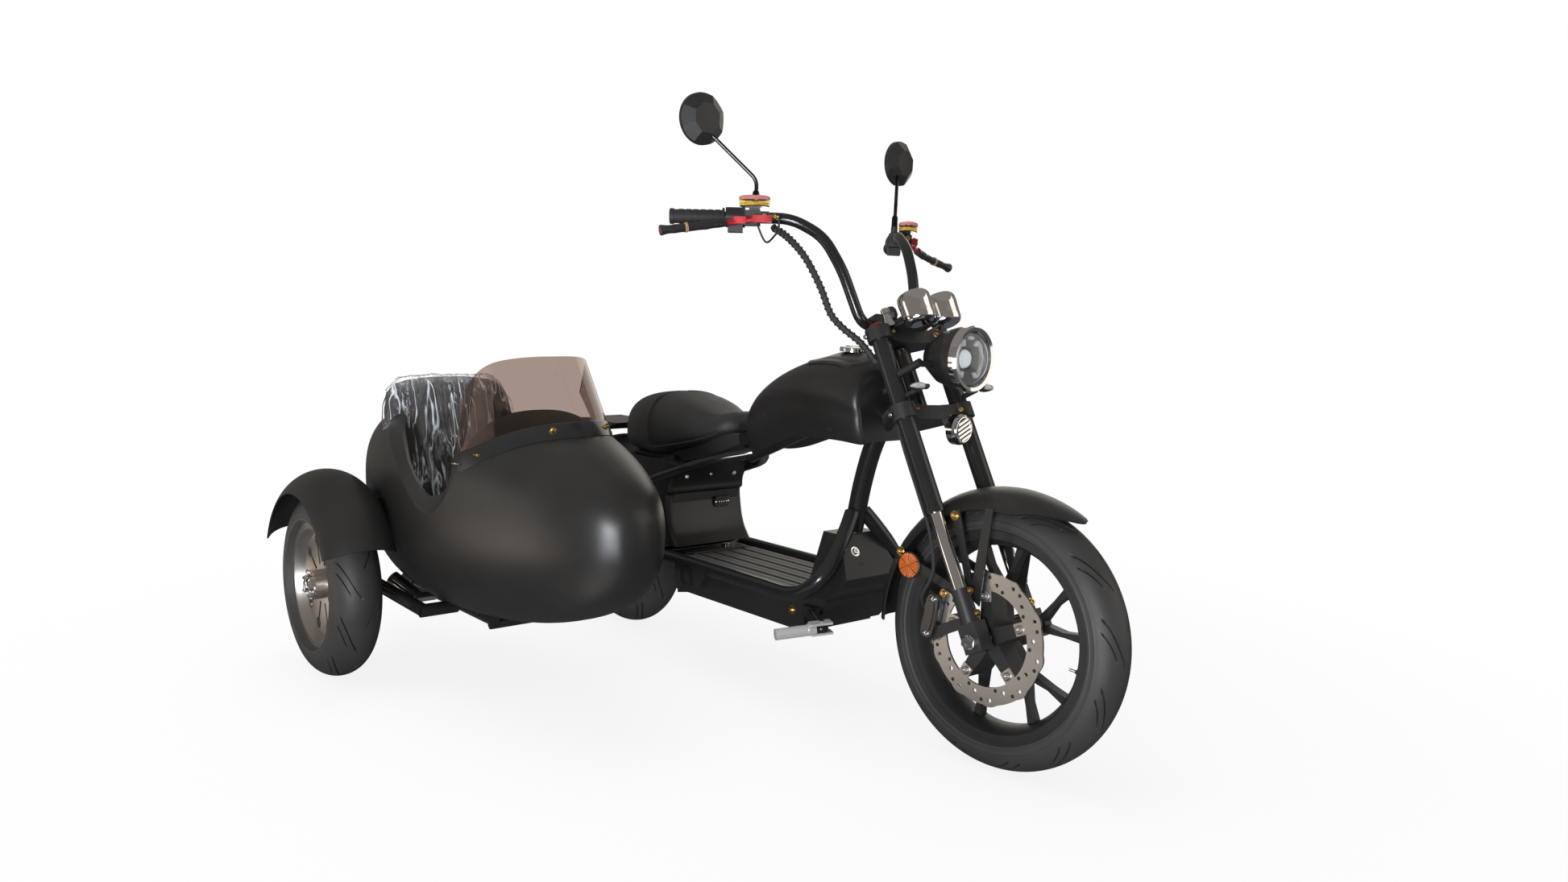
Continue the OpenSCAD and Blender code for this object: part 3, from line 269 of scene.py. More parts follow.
class Piece:
    """A mesh gathered from forms drawn in millimetres, each put in its place by a matrix."""

    def __init__(self, name, body, slot, *materials):
        self.name = name
        self.body = body
        self.slot = slot
        self.materials = materials
        self.bm = bmesh.new()

    def face(self, points, mat=0):
        f = self.bm.faces.new(points)
        f.material_index = mat
        f.smooth = True

    def points(self, places, m=PLACE):
        return [self.bm.verts.new(m @ Vector(p)) for p in places]

    def grid(self, rows, m=PLACE, wrap=False, mat=0):
        layers = [self.points(row, m) for row in rows]
        count = len(layers[0])
        for a, b in zip(layers, layers[1:]):
            for k in range(count if wrap else count - 1):
                j = (k + 1) % count
                self.face((a[k], a[j], b[j], b[k]), mat)
        return layers

    def capped(self, rows, m=PLACE, wrap=True, mat=0):
        """Grid with a face across its first row and its last."""
        layers = self.grid(rows, m, wrap, mat)
        self.face(list(reversed(layers[0])), mat)
        self.face(layers[-1], mat)

    def lathe(self, profile, m=PLACE, n=40, mat=0):
        """Profile of radius and height turned about local Z."""
        rings = []
        for r, z in profile:
            spots = around(n) if r > 0 else [0]
            rings.append(self.points([(r * cos(t), r * sin(t), z) for t in spots], m))
        for a, b in zip(rings, rings[1:]):
            for k in range(n):
                j = (k + 1) % n
                if len(a) == 1 and len(b) > 1:
                    self.face((a[0], b[j], b[k]), mat)
                elif len(b) == 1 and len(a) > 1:
                    self.face((a[k], a[j], b[0]), mat)
                elif len(a) > 1:
                    self.face((a[k], a[j], b[j], b[k]), mat)

    def tube(self, path, r, m=PLACE, sides=10, mat=0):
        path = [Vector(p) for p in path]
        radius = r if callable(r) else (lambda t: r)
        side = Vector((0.31, 0.83, 0.46))
        rows = []
        for i, p in enumerate(path):
            along = (path[min(i + 1, len(path) - 1)] - path[max(i - 1, 0)]).normalized()
            side = (side - along * side.dot(along)).normalized()
            other = along.cross(side)
            size = radius(i / (len(path) - 1))
            rows.append([p + size * (cos(t) * side + sin(t) * other) for t in around(sides)])
        self.capped(rows, m, True, mat)

    def plate(self, outline, thick, m=PLACE, edge=1.0, mat=0):
        """Flat outline from local Z 0 to its thickness, with an eased upper edge."""
        n = len(outline)
        mid = Vector((sum(p[0] for p in outline) / n, sum(p[1] for p in outline) / n))
        inner = [mid + (Vector(p) - mid) * (1 - edge / max((Vector(p) - mid).length, 0.01)) for p in outline]
        rows = [[(*p, 0) for p in outline], [(*p, thick - edge) for p in outline], [(*p, thick) for p in inner]]
        self.capped(rows, m, True, mat)

    def bolt(self, m, r=6.0, h=5.0, mat=0):
        """Round-headed bolt with a socket, on a washer."""
        self.lathe([(r * 1.45, 0), (r * 1.45, 1.2), (r, 1.4), (r, h - 0.22 * r), (0.78 * r, h), (0.5 * r, h),
                    (0.44 * r, h - 0.5 * r), (0, h - 0.5 * r)], m, 20, mat)

    def done(self, replaces=(), sharp=38):
        bmesh.ops.recalc_face_normals(self.bm, faces=self.bm.faces)
        mesh = bpy.data.meshes.new(self.name)
        self.bm.to_mesh(mesh)
        self.bm.free()
        mesh.set_sharp_from_angle(angle=radians(sharp))
        for material in self.materials:
            mesh.materials.append(material)
        o = bpy.data.objects.new(self.name, mesh)
        scene.collection.objects.link(o)
        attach(o, self.body)
        if replaces:
            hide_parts(*replaces)
        return o


def through(points, n):
    """Smooth curve through every point."""
    p = [Vector(q) for q in points]
    out = []
    for i in range(len(p) - 1):
        a, b, c, d = p[max(i - 1, 0)], p[i], p[i + 1], p[min(i + 2, len(p) - 1)]
        for k in range(n):
            t = k / n
            out.append(0.5 * (2 * b + (c - a) * t + (2 * a - 5 * b + 4 * c - d) * t * t
                              + (3 * b - a - 3 * c + d) * t ** 3))
    return out + [p[-1]]


def eased(t):
    t = min(max(t, 0), 1)
    return t * t * (3 - 2 * t)


def at_x(rows, x):
    """Row of a table of sections, read at any place along it. Rows run from front to rear."""
    if x >= rows[0][0]:
        return rows[0]
    for a, b in zip(rows, rows[1:]):
        if x >= b[0]:
            return a.lerp(b, (a[0] - x) / (a[0] - b[0]))
    return rows[-1]


def signed(v, power):
    """Power of a number that keeps its sign."""
    return copysign(abs(v) ** power, v)


def part_lathe(piece, profile, m, start, end, n, mat=0):
    """Lathe that goes only from one angle to another, in degrees."""
    turns = [radians(start + (end - start) * k / n) for k in range(n + 1)]
    piece.grid([[(r * cos(t), r * sin(t), z) for t in turns] for r, z in profile], m, False, mat)


def box(piece, low, high, m=PLACE, mat=0, edge=1.0):
    outline = [(low[0], low[1]), (high[0], low[1]), (high[0], high[1]), (low[0], high[1])]
    piece.plate(outline, high[2] - low[2], m @ move(0, 0, low[2]), edge, mat)


def rounded(half_x, half_y, power=0.5, n=40):
    return [(half_x * signed(cos(t), power), half_y * signed(sin(t), power)) for t in around(n)]


def ring_path(r, n=40):
    return [(r * cos(2 * pi * k / n), r * sin(2 * pi * k / n), 0) for k in range(n + 1)]


def bend(a, corner, b, r, n=8):
    """Straight from a to b by way of a rounded corner."""
    a, corner, b = Vector(a), Vector(corner), Vector(b)
    p, q = corner + (a - corner).normalized() * r, corner + (b - corner).normalized() * r
    curve = [p.lerp(corner, t).lerp(corner.lerp(q, t), t) for t in even(n)]
    return [a] + curve + [b]


# Tyres: the tread's grooves lean back from the crown to the shoulders
# Half of the tread's arc in degrees, a groove's depth and wall, and its lean in radians at the shoulder
TREAD = 63
GROOVE_DEPTH = 5
GROOVE_WALL = 1.2
LEAN = 0.42


def tyre(name, body, cad_node, m, outer_r, width, lip_r, rim_w, pitches):
    piece = Piece(name, body, "tyre", tyre_rubber)
    half = width / 2
    ring = outer_r - half
    wall = acos((lip_r + 2 - ring) / half)
    tread = radians(TREAD)
    across = [-wall + (wall - tread) * k / 14 for k in range(14)]
    across += [-tread + 2 * tread * k / 52 for k in range(53)]
    across += [tread + (wall - tread) * (k + 1) / 14 for k in range(14)]
    # Each groove: side of the crown, where it starts and ends in degrees from the crown, half width
    kinds = [(1, 4, 57, 3.3), (-1, 30, TREAD, 2.6), (-1, 4, 57, 3.3), (1, 30, TREAD, 2.6)]
    columns = []
    pitch = 2 * pi / pitches
    for p in range(pitches):
        for g, (*_, groove) in enumerate(kinds):
            base = (p + g / len(kinds)) * pitch
            for d, deep in ((-groove - GROOVE_WALL, 0), (-groove, 1), (0, 1.1), (groove, 1),
                            (groove + GROOVE_WALL, 0)):
                columns.append((base + d / outer_r, g, deep))
            for t in (0.4, 0.7):
                columns.append((base + t * pitch / len(kinds), g, 0))

    def depth(g, deep, phi):
        side, start, end, _ = kinds[g]
        if deep == 0 or phi * side < 0:
            return 0
        d = degrees(abs(phi))
        return GROOVE_DEPTH * deep * eased((d - start) / 5) * eased((end - d) / 5)

    def lean(phi):
        t = min(degrees(abs(phi)), TREAD) / TREAD
        return LEAN * (0.55 * t + 0.45 * eased(t)) * FRONT_R / outer_r

    rows = []
    for angle, g, deep in columns:
        row = []
        for phi in across:
            rib = 1.1 if 0.80 < abs(phi) / wall < 0.83 or 0.93 < abs(phi) / wall < 0.95 else 0
            h = half - 1.3 - depth(g, deep, phi) + rib
            r = ring + h * cos(phi)
            a = angle + lean(phi)
            row.append((r * cos(a), r * sin(a), h * sin(phi)))
        low, high = row[0], row[-1]
        tuck = (lip_r - 7) / hypot(low[0], low[1])
        in_low = (low[0] * tuck, low[1] * tuck, -rim_w / 2 + 7)
        in_high = (high[0] * tuck, high[1] * tuck, rim_w / 2 - 7)
        rows.append([in_low] + row + [in_high])
    rows.append(rows[0])
    layers = piece.grid(rows, m)
    bmesh.ops.remove_doubles(piece.bm, verts=layers[0] + layers[-1], dist=1e-6)
    return piece.done((cad_node,), 50)


tyre("front_tread", "front_wheel", "front_tyre", FRONT_WHEEL, FRONT_R, 110, 229, 88, 12)
tyre("rear_tread", "rear_wheel", "rear_tyre", REAR_WHEEL, SMALL_R, 130, 167, 93.6, 10)
tyre("sidecar_tread", "sidecar_wheel", "sidecar_tyre", SIDE_WHEEL, SMALL_R, 130, 167, 93.6, 10)


# Sidecar tub: sections from nose to tail as x, half width, top, widest and bottom heights
TUB_Y = -596
TUB_POWER = 0.82
TUB = through([
    (-505, 22, 516, 474, 440), (-518, 56, 548, 474, 398), (-555, 92, 588, 478, 346), (-620, 126, 624, 484, 302),
    (-720, 162, 664, 490, 260), (-865, 198, 704, 494, 222), (-1050, 228, 732, 496, 195),
    (-1260, 240, 742, 496, 185), (-1460, 226, 727, 496, 199), (-1640, 178, 690, 494, 236),
    (-1780, 118, 638, 488, 292), (-1870, 64, 584, 482, 356), (-1908, 24, 546, 478, 404)], 10)
COCKPIT = through([(-975, 612), (-1000, 575), (-1050, 528), (-1095, 514), (-1150, 524), (-1230, 575),
                   (-1300, 625), (-1420, 680), (-1560, 715)], 6)


COCKPIT_FRONT = -975
COCKPIT_REAR = -1531
SKIN = 9
LINER = 12
TUB_MIDDLE = 496
# Sunk band along the cockpit's edge, and where the close steps down from that edge end
BAND = 38
BAND_DEPTH = 15
STEPS_END = 75


def tub_point(x, a, inset=0.0):
    r = at_x(TUB, x)
    c, s = cos(a), sin(a)
    reach = (r[2] - r[3] if s > 0 else r[3] - r[4]) - inset
    return Vector((x, TUB_Y + (r[1] - inset) * signed(c, TUB_POWER), r[3] + reach * signed(s, TUB_POWER)))


def tub_top(x, y):
    """Height of the upper skin at a place given from the tub's middle plane."""
    r = at_x(TUB, x)
    out = min(abs(y) / r[1], 1)
    return r[3] + (r[2] - r[3]) * (1 - out ** (2 / TUB_POWER)) ** (TUB_POWER / 2)


def rim_angle(x, inset=0.0):
    """Where the cockpit's edge crosses the section at x, as an angle of the section."""
    r = at_x(TUB, x)
    rise = (at_x(COCKPIT, x)[1] - r[3]) / (r[2] - r[3] - inset)
    return asin(min(max(rise, 0), 1) ** (1 / TUB_POWER))


def tub_piece():
    piece = Piece("sidecar_shell", "chassis", "body_black", body_black)
    ring = around(96, 0.5)
    front = [r[0] for r in TUB if r[0] > COCKPIT_FRONT] + [COCKPIT_FRONT]
    rear = [COCKPIT_REAR] + [r[0] for r in TUB if r[0] < COCKPIT_REAR - 4]
    for xs in (front, rear):
        layers = piece.grid([[tub_point(x, a) for a in ring] for x in xs], PLACE, True)
        piece.face(layers[0] if xs is front else layers[-1])
    open_part = [COCKPIT_FRONT - (COCKPIT_FRONT - COCKPIT_REAR) * k / 60 for k in range(61)]
    inner_front = [r[0] for r in TUB if COCKPIT_FRONT < r[0] < -560]
    piece.grid([[tub_point(x, a, SKIN) for a in ring] for x in inner_front + [COCKPIT_FRONT]], PLACE, True)
    # Distances down from the cockpit's edge, with a sunk band along it
    steps = [0, 5, 12, 20, 28, 33, 36, 39, 44, 55, STEPS_END]
    for side in (1, -1):
        outer, inner = [], []
        for x in open_part:
            start = rim_angle(x)
            fine = [start - (start + pi / 2) * k / 500 for k in range(501)]
            path = [tub_point(x, a) for a in fine]
            run = [0]
            for a, b in zip(path, path[1:]):
                run.append(run[-1] + (b - a).length)
            places = steps + [STEPS_END + (run[-1] - STEPS_END) * (k + 1) / 30 for k in range(30)]
            sunk = BAND_DEPTH * eased((COCKPIT_FRONT - 10 - x) / 60) * eased((x - COCKPIT_REAR) / 170)
            row, j = [], 0
            for d in places:
                while j < len(run) - 2 and run[j + 1] < d:
                    j += 1
                p = path[j].lerp(path[j + 1], (d - run[j]) / max(run[j + 1] - run[j], 1e-6))
                off = sunk * max(0, 1 - d / BAND) ** 0.8
                along = (path[min(j + 1, 500)] - path[max(j - 1, 0)]).normalized()
                away = Vector((0, along.z, -along.y))
                if away.dot(p - Vector((x, TUB_Y, TUB_MIDDLE))) < 0:
                    away = -away
                p = p - away * off
                row.append((p.x, TUB_Y + side * (p.y - TUB_Y), p.z))
            outer.append(row)
            lip = row[0]
            wall = [(lip[0], lip[1] - side * 4, lip[2] - 3), (lip[0], lip[1] - side * 9, lip[2] - 6)]
            low = rim_angle(x, LINER) - 0.16
            for k in range(24):
                q = tub_point(x, low - (low + pi / 2) * k / 23, LINER)
                wall.append((q.x, TUB_Y + side * (q.y - TUB_Y), q.z))
            inner.append([lip] + wall)
        piece.grid(outer)
        piece.grid(inner)
    bmesh.ops.remove_doubles(piece.bm, verts=piece.bm.verts, dist=0.0004)
    return piece.done(("sidecar_tub",), 28)


tub_piece()


# Windscreen with its strip and bolts along the foot
SCREEN_OFF = -9
SCREEN_Y = TUB_Y + SCREEN_OFF
SCREEN_X = -1104
SCREEN_LONG = 343
SCREEN_WIDE = 212
SCREEN_TOP = 857


def pane(a, v, out=0.0):
    """Place on the screen's outer face: v runs up from the foot, a is the angle in plan."""
    c, s = cos(a), sin(a)
    x = SCREEN_X + (SCREEN_LONG + out) * c
    y = (SCREEN_WIDE + out) * s
    foot = tub_top(x, y + SCREEN_OFF) + 1.2
    corner = max(0, abs(degrees(a)) - 36) / 35
    top = SCREEN_TOP - 40 * abs(s) ** 3 - 66 * corner ** 3
    return Vector((x - (6 + 98 * c) * v, SCREEN_Y + y * (1 - 0.2 * v), foot + v * (top - foot)))


SCREEN_HALF = radians(71)
angles = [SCREEN_HALF * (1 - 2 * k / 72) for k in range(73)]
screen = Piece("screen", "chassis", "smoked_screen", smoked)
rise = even(14)
outside = [[pane(a, v) for a in angles] for v in rise]
inside = [[pane(a, v, -4) for a in angles] for v in rise]
front_face = screen.grid(outside)
back_face = screen.grid(inside)
for a, b in ((front_face[0], back_face[0]), (front_face[-1], back_face[-1])):
    for k in range(len(a) - 1):
        screen.face((a[k], a[k + 1], b[k + 1], b[k]))
for k in (0, -1):
    for i in range(len(front_face) - 1):
        screen.face((front_face[i][k], front_face[i + 1][k], back_face[i + 1][k], back_face[i][k]))
screen.done(("windscreen",), 40)

strip = Piece("screen_strip", "chassis", "body_black", frame_black)
STRIP_H = 38


def strip_place(a, up, out):
    p = pane(a, 0, out)
    top = pane(a, 1, out)
    return p + (top - p).normalized() * up


rows = []
for a in [SCREEN_HALF * (1.01 - 2.02 * k / 80) for k in range(81)]:
    section = [(0.5, 0.4), (0.5, 3.6), (STRIP_H - 1.5, 3.6), (STRIP_H, 2.4), (STRIP_H, 0.4)]
    rows.append([strip_place(a, u, o) for u, o in section])
strip.capped(rows, wrap=False)
strip.done(sharp=30)

screen_bolts = Piece("screen_bolts", "chassis", "chrome", gold)
for a in map(radians, (-56, -15, 27, 58)):
    p = strip_place(a, STRIP_H * 0.55, 3.6)
    out_dir = strip_place(a, STRIP_H * 0.55, 20) - p
    screen_bolts.bolt(PLACE @ facing(p, out_dir), 7.5, 5)
screen_bolts.done()


# Rider's seat: sections from nose to rear as x, half width, crown and floor heights
SEAT = through([(-906, 40, 686, 644), (-930, 78, 700, 632), (-1000, 112, 690, 604), (-1090, 140, 716, 573),
                (-1170, 150, 732, 550), (-1250, 148, 735, 550), (-1320, 130, 722, 552), (-1370, 96, 690, 562),
                (-1400, 52, 640, 580)], 8)


def seat_point(x, a, out=0.0):
    r = at_x(SEAT, x)
    mid = r[3] + 0.35 * (r[2] - r[3])
    c, s = cos(a), sin(a)
    reach = (r[2] - mid if s > 0 else mid - r[3]) + out
    return Vector((x, (r[1] + out) * signed(c, 0.7), mid + reach * signed(s, 0.7)))


PRESSURE = 4.0
FRAMES = 16


def pressed(o, most, voxel):
    """Padded cover: the form is blown up as cloth, each point moving no further than a limit."""
    remesh = o.modifiers.new("remesh", "REMESH")
    remesh.mode = "VOXEL"
    remesh.voxel_size = voxel
    apply_modifiers(o)
    rest = [v.co.copy() for v in o.data.vertices]
    cloth = o.modifiers.new("cloth", "CLOTH")
    cloth.settings.use_pressure = True
    cloth.settings.uniform_pressure_force = PRESSURE
    cloth.settings.tension_stiffness = 30
    cloth.settings.bending_stiffness = 4
    cloth.settings.effector_weights.gravity = 0
    for f in range(1, FRAMES + 1):
        scene.frame_set(f)
    shape = o.evaluated_get(bpy.context.evaluated_depsgraph_get())
    moved = [v.co.copy() for v in shape.data.vertices]
    o.modifiers.clear()
    for v, a, b in zip(o.data.vertices, rest, moved):
        step = b - a
        if step.length > most:
            step = step * (most / step.length)
        v.co = a + step
    scene.frame_set(1)
    relax = o.modifiers.new("relax", "SMOOTH")
    relax.iterations = 4
    relax.factor = 0.5
    subdivide = o.modifiers.new("subdivide", "SUBSURF")
    subdivide.levels = 1
    subdivide.render_levels = 1
    apply_modifiers(o)
    for f in o.data.polygons:
        f.use_smooth = True


def apply_modifiers(o):
    shape = o.evaluated_get(bpy.context.evaluated_depsgraph_get())
    mesh = bpy.data.meshes.new_from_object(shape)
    old = o.data
    o.modifiers.clear()
    o.data = mesh
    bpy.data.meshes.remove(old)


def padded(piece, most, replaces=(), voxel=0.007):
    o = piece.done(replaces)
    pressed(o, most, voxel)


seat = Piece("seat_pad", "chassis", "seat_cover", vinyl)
seat.capped([[seat_point(r[0], a, -5) for a in around(72, 0.5)] for r in SEAT])
padded(seat, 0.005, ("seat",))

# Piping where the seat's panels are sewn together
piping = Piece("seat_piping", "chassis", "seat_cover", vinyl)
for side in (1, -1):
    def on_seat(x, angle):
        a = radians(angle)
        return seat_point(x, a if side > 0 else pi - a, -0.8)
    rear_seam = [on_seat(-1215 + 50 * t, 88 - 106 * t) for t in even(24)]
    low_seam = [on_seat(-1165 + 225 * t, -18 - 4 * sin(pi * t)) for t in even(30)]
    for seam in (rear_seam, low_seam):
        piping.tube(seam, 2.6, sides=8)
piping.done()


# Sidecar's seat: a raised back and a cushion, the back still in its clear wrapping
BACK = PLACE @ move(-1448, TUB_Y, 330) @ turn(-12, "Y")
back_outline = through([(-150, 30), (-184, 180), (-192, 300), (-186, 378), (-156, 434), (-64, 453), (64, 453),
                        (156, 434), (186, 378), (192, 300), (184, 180), (150, 30)], 6)


def back_point(p, t, puff):
    """Point of the padded back: t runs from the middle of its face out to its edge."""
    mid = Vector((0, 235))
    q = mid + (Vector(p) - mid) * t
    return (36 + puff * (1 - t ** 5) ** 0.5, q.x, q.y)


back = Piece("sidecar_back", "chassis", "seat_cover", vinyl)
closed = [Vector(p) for p in back_outline] + [Vector((x, 24)) for x in (100, 50, 0, -50, -100)]
levels = even(16)[1:]
front_rows = [[back_point(p, t, 33) for p in closed] for t in levels]
rear_rows = [[back_point(p, t, -33) for p in closed] for t in reversed(levels[:-1])]
back.capped(front_rows + rear_rows, BACK)
padded(back, 0.006)

cushion = Piece("sidecar_cushion", "chassis", "seat_cover", vinyl)
outline = rounded(235, 172, 0.45, 64)
CUSHION = PLACE @ move(-1245, TUB_Y, 330)


def cushion_point(p, t, puff):
    return (p[0] * t * 0.78, p[1] * t, puff * (1 - t ** 6) ** 0.5)


rows = [[cushion_point(p, t, 62) for p in outline] for t in levels]
rows += [[cushion_point(p, t, -60) for p in outline] for t in reversed(levels[:-1])]
cushion.capped(rows, CUSHION)
padded(cushion, 0.006, ("sidecar_seat",), 0.008)

# Wrapping: a thin film over the front and top of the back, with long folds and small creases, and pale lines painted
# on it as glints along the creases
film_glass = see_through("clear_film", (0.97, 0.98, 0.99), (0.0, 0.05), 1.42, (60, 4, (1, 1, 0.25)), 0.003, 0.5,
                         (30, 3))
tree = film_glass.node_tree
GLINT_WIDTH = 0.02


def glint_lines(stretch, patches, low, high):
    """Thin pale lines in patches: painted glints along the film's creases, and the paler look of film doubled over
    itself.
    """
    r = node(tree, "ShaderNodeValToRGB", {"Fac": grain(tree, 1, 2, stretch)})
    for at, level in ((0.5, 1.0), (0.5 + GLINT_WIDTH, 0.0)):
        e = r.color_ramp.elements.new(at)
        e.color = (level, level, level, 1)
    r.color_ramp.elements[0].position = 0.5 - GLINT_WIDTH
    for k in (0, -1):
        r.color_ramp.elements[k].color = (0, 0, 0, 1)
    return combined(tree, "MULTIPLY", r.outputs["Color"], spread(tree, grain(tree, patches, 2), low, high))


# Pale shader of the lines: painted glints on the creases, and the paler film where it doubles over
glint_shader = node(tree, "ShaderNodeBsdfPrincipled", {
    "Base Color": ramp(tree, grain(tree, 40), (0.62, 0.66, 0.72), (0.85, 0.88, 0.92)), "Roughness": 0.2})
long_crease_glints = glint_lines((9, 24, 4.5), 9, -0.5, 1.9)
short_crease_glints = glint_lines((30, 90, 16), 14, -1.7, 2.0)
blend = node(tree, "ShaderNodeMixShader", {
    "Fac": combined(tree, "MAXIMUM", long_crease_glints, short_crease_glints),
    1: tree.nodes["Principled BSDF"].outputs["BSDF"], 2: glint_shader.outputs["BSDF"]})
fill(tree, tree.nodes["Material Output"], {"Surface": blend.outputs[0]})
film = Piece("sidecar_film", "chassis", None, film_glass)
FILM = [(30, 152), (180, 187), (300, 195), (378, 189), (434, 170), (480, 160)]


def film_point(u, v):
    """u runs across and v from the seat up over the top to the rear."""
    z = 60 + 386 * min(v / 0.86, 1)
    low = max(r for r in FILM[:-1] if r[0] <= z)
    high = FILM[FILM.index(low) + 1]
    y = u * (low[1] + (high[1] - low[1]) * (z - low[0]) / (high[0] - low[0]))
    corner = max(0, abs(u) - 0.6) / 0.4
    z -= 34 * corner ** 2 * eased((v - 0.6) / 0.3)
    over = eased((v - 0.78) / 0.2)
    x = 36 + 37 * (1 - abs(u) ** 5) * (1 - over) - 22 * over
    folds = noise.noise(Vector((u * 9 + 2.5 * v, v * 1.6, 0.3)))
    creases = noise.noise(Vector((u * 26 + 4 * v, v * 7, 4.1)))
    ridges = 1 - abs(noise.noise(Vector((u * 14 - 3 * v, v * 2.4, 9.7)))) * 2.2
    lift = 4 + 4 * folds + 3 * creases + 6 * max(0, ridges - 0.55)
    return (x + max(lift, 1.2), y + 3 * creases, z + 2 * folds + max(lift, 0) * over)


columns = [-1 + 2 * k / 150 for k in range(151)]
rows = [[film_point(u, k / 130) for u in columns] for k in range(131)]
film.grid(rows, BACK)
film_sheet = film.done(sharp=180)
thick = film_sheet.modifiers.new("thickness", "SOLIDIFY")
thick.thickness = 0.0004
apply_modifiers(film_sheet)


# Tank cover: the upper and lower shells meet in a crease along the widest line
TANK = through([(-372, 94, 814, 754, 674), (-386, 108, 844, 764, 670), (-444, 121, 870, 780, 674),
                (-510, 127, 874, 784, 674), (-585, 128, 858, 786, 670), (-668, 120, 826, 774, 648),
                (-748, 102, 780, 744, 620), (-812, 78, 728, 702, 608), (-858, 48, 684, 664, 616)], 8)


def tank_point(x, t, side, out=0.0):
    """t runs from the ridge at 0 over the crease at 1 to the lower edge at 2."""
    r = at_x(TANK, x)
    if t <= 1:
        a = pi / 2 * (1 - t)
        y = r[1] * (0.06 * t + 0.94 * abs(cos(a)) ** 0.78)
        z = r[3] + (r[2] - r[3]) * sin(a) ** 0.86
    else:
        d = t - 1
        y = r[1] * (1 - 0.05 * eased(d * 3) - 0.2 * d ** 3)
        z = r[3] - (r[3] - r[4]) * d
    return Vector((x, side * (y + out * min(t, 1)), z + out * max(1 - t, 0)))


tank = Piece("tank_shell", "chassis", "body_black", body_black)
along = [r[0] for r in TANK]
shares = even(18) + [1 + t for t in even(14)[1:]]
for side in (1, -1):
    rows = []
    for x in along:
        row = [tank_point(x, t, side) for t in shares]
        edge = row[-1]
        row += [(x, edge.y - side * 3, edge.z - 1.5), (x, edge.y - side * 6, edge.z + 1),
                (x, max(side * edge.y - 26, 24) * side, edge.z + 26)]
        rows.append(row)
    tank.grid(rows)
for x in (along[0], along[-1]):
    left = [tank_point(x, t, 1) for t in shares]
    right = [tank_point(x, t, -1) for t in reversed(shares[1:])]
    tank.face(tank.points(left + right))
bmesh.ops.remove_doubles(tank.bm, verts=tank.bm.verts, dist=0.00005)
tank.done(("tank_cover",), 26)

# Dash panel on the tank, with a filler cap
console = Piece("tank_dash", "chassis", "body_black", cast_black, chrome)
spans = [-398 - 210 * k / 30 for k in range(31)]
rows = []
for i, x in enumerate(spans):
    end = eased(i / 5) * eased((30 - i) / 8)
    half = 0.14 + 0.36 * end
    section = [(-half, -2), (-half, 3.5), (-half * 0.9, 6), (0, 7.5), (half * 0.9, 6), (half, 3.5), (half, -2)]
    rows.append([tank_point(x, abs(t), 1 if t >= 0 else -1, o * (0.25 + 0.75 * end))
                 for t, o in section])
console.capped(rows, wrap=False)
cap_at = tank_point(-500, 0, 1)
console.lathe([(34, 0), (34, 8), (31, 11), (26, 12), (24, 10.5), (12, 10.5), (10, 12), (0, 12)],
              PLACE @ facing(cap_at + Vector((0, 0, 5)), (0.05, 0, 1)), 48, 1)
console.done(sharp=30)


# Lamp: reflector, projector and the two light guides behind the lens
LAMP = STEERED @ move(-129, 0, 878) @ turn(-90, "Y")
inside = Piece("lamp_inside", "steering", "chrome", pale_grey, cast_black, white_plate, clear, chrome)
inside.lathe([(56.5, 12), (55, 24), (50, 40), (41, 54), (30, 62), (0, 62)], LAMP, 64)
inside.lathe([(57, 11.5), (52.5, 12.5), (52.5, 19)], LAMP, 64, 1)
inside.lathe([(31, 61), (31, 32), (28.5, 27), (25, 26), (23.5, 28), (23.5, 37)], LAMP, 48, 1)
inside.lathe([(33, 50), (35, 46), (33, 42)], LAMP, 48, 4)
inside.lathe([(23, 35), (21, 27.5), (15, 20.5), (8, 17), (0, 16), (0, 35), (23, 35)], LAMP, 48, 3)
inside.lathe([(23, 37), (0, 37)], LAMP, 48, 4)
for side in (1, -1):
    arc = [(46.5 * cos(t), side * 46.5 * sin(t), 17) for t in [radians(34 + 4 * k) for k in range(29)]]
    first, last = ((0.76 * x, 0.76 * y, 20) for x, y, _ in (arc[0], arc[-1]))
    inside.tube([first] + arc + [last], 5.2, LAMP, 10, 2)
box(inside, (-3.5, -9, 0), (3.5, 9, 4), LAMP @ move(46, 0, 18) @ turn(180, "X"), 2)
inside.done(sharp=32)

# Gauges: chrome cups with plain dials
DIAL = 68
dials = Piece("gauge_cups", "steering", "chrome", chrome, cast_black, white_plate, red_metal, clear)
for side in (1, -1):
    cup_m = FORK @ move(124, side * 47, 698.3)
    dials.lathe([(0, 0), (22, 0), (29, 2), (34, 6), (36.6, 12), (37.4, 22), (37.8, 40), (38.6, 46), (38.8, 60),
                 (37.6, 67), (34.5, 71.5), (32, 73), (30.3, 71.8), (30, 68)], cup_m, 56)
    dials.lathe([(30.2, DIAL), (0, DIAL)], cup_m, 56, 1)
    for k in range(11):
        box(dials, (22, -0.6, 0), (28, 0.6, 0.5), cup_m @ move(0, 0, DIAL + 0.1) @ turn(225 - 27 * k, "Z"), 2, 0.2)
    box(dials, (-7, -1.1, 0), (23, 1.1, 0.7), cup_m @ move(0, 0, DIAL + 0.7) @ turn(225, "Z"), 3, 0.2)
    dials.lathe([(4, DIAL), (4, DIAL + 2), (0, DIAL + 2)], cup_m, 20, 1)
    dials.lathe([(29.8, 70.6), (29.8, 71.4), (18, 72.2), (0, 72.6), (0, 71.4), (18, 71.2), (29.8, 70.6)], cup_m, 56, 4)
dials.done(("gauge_pods",))

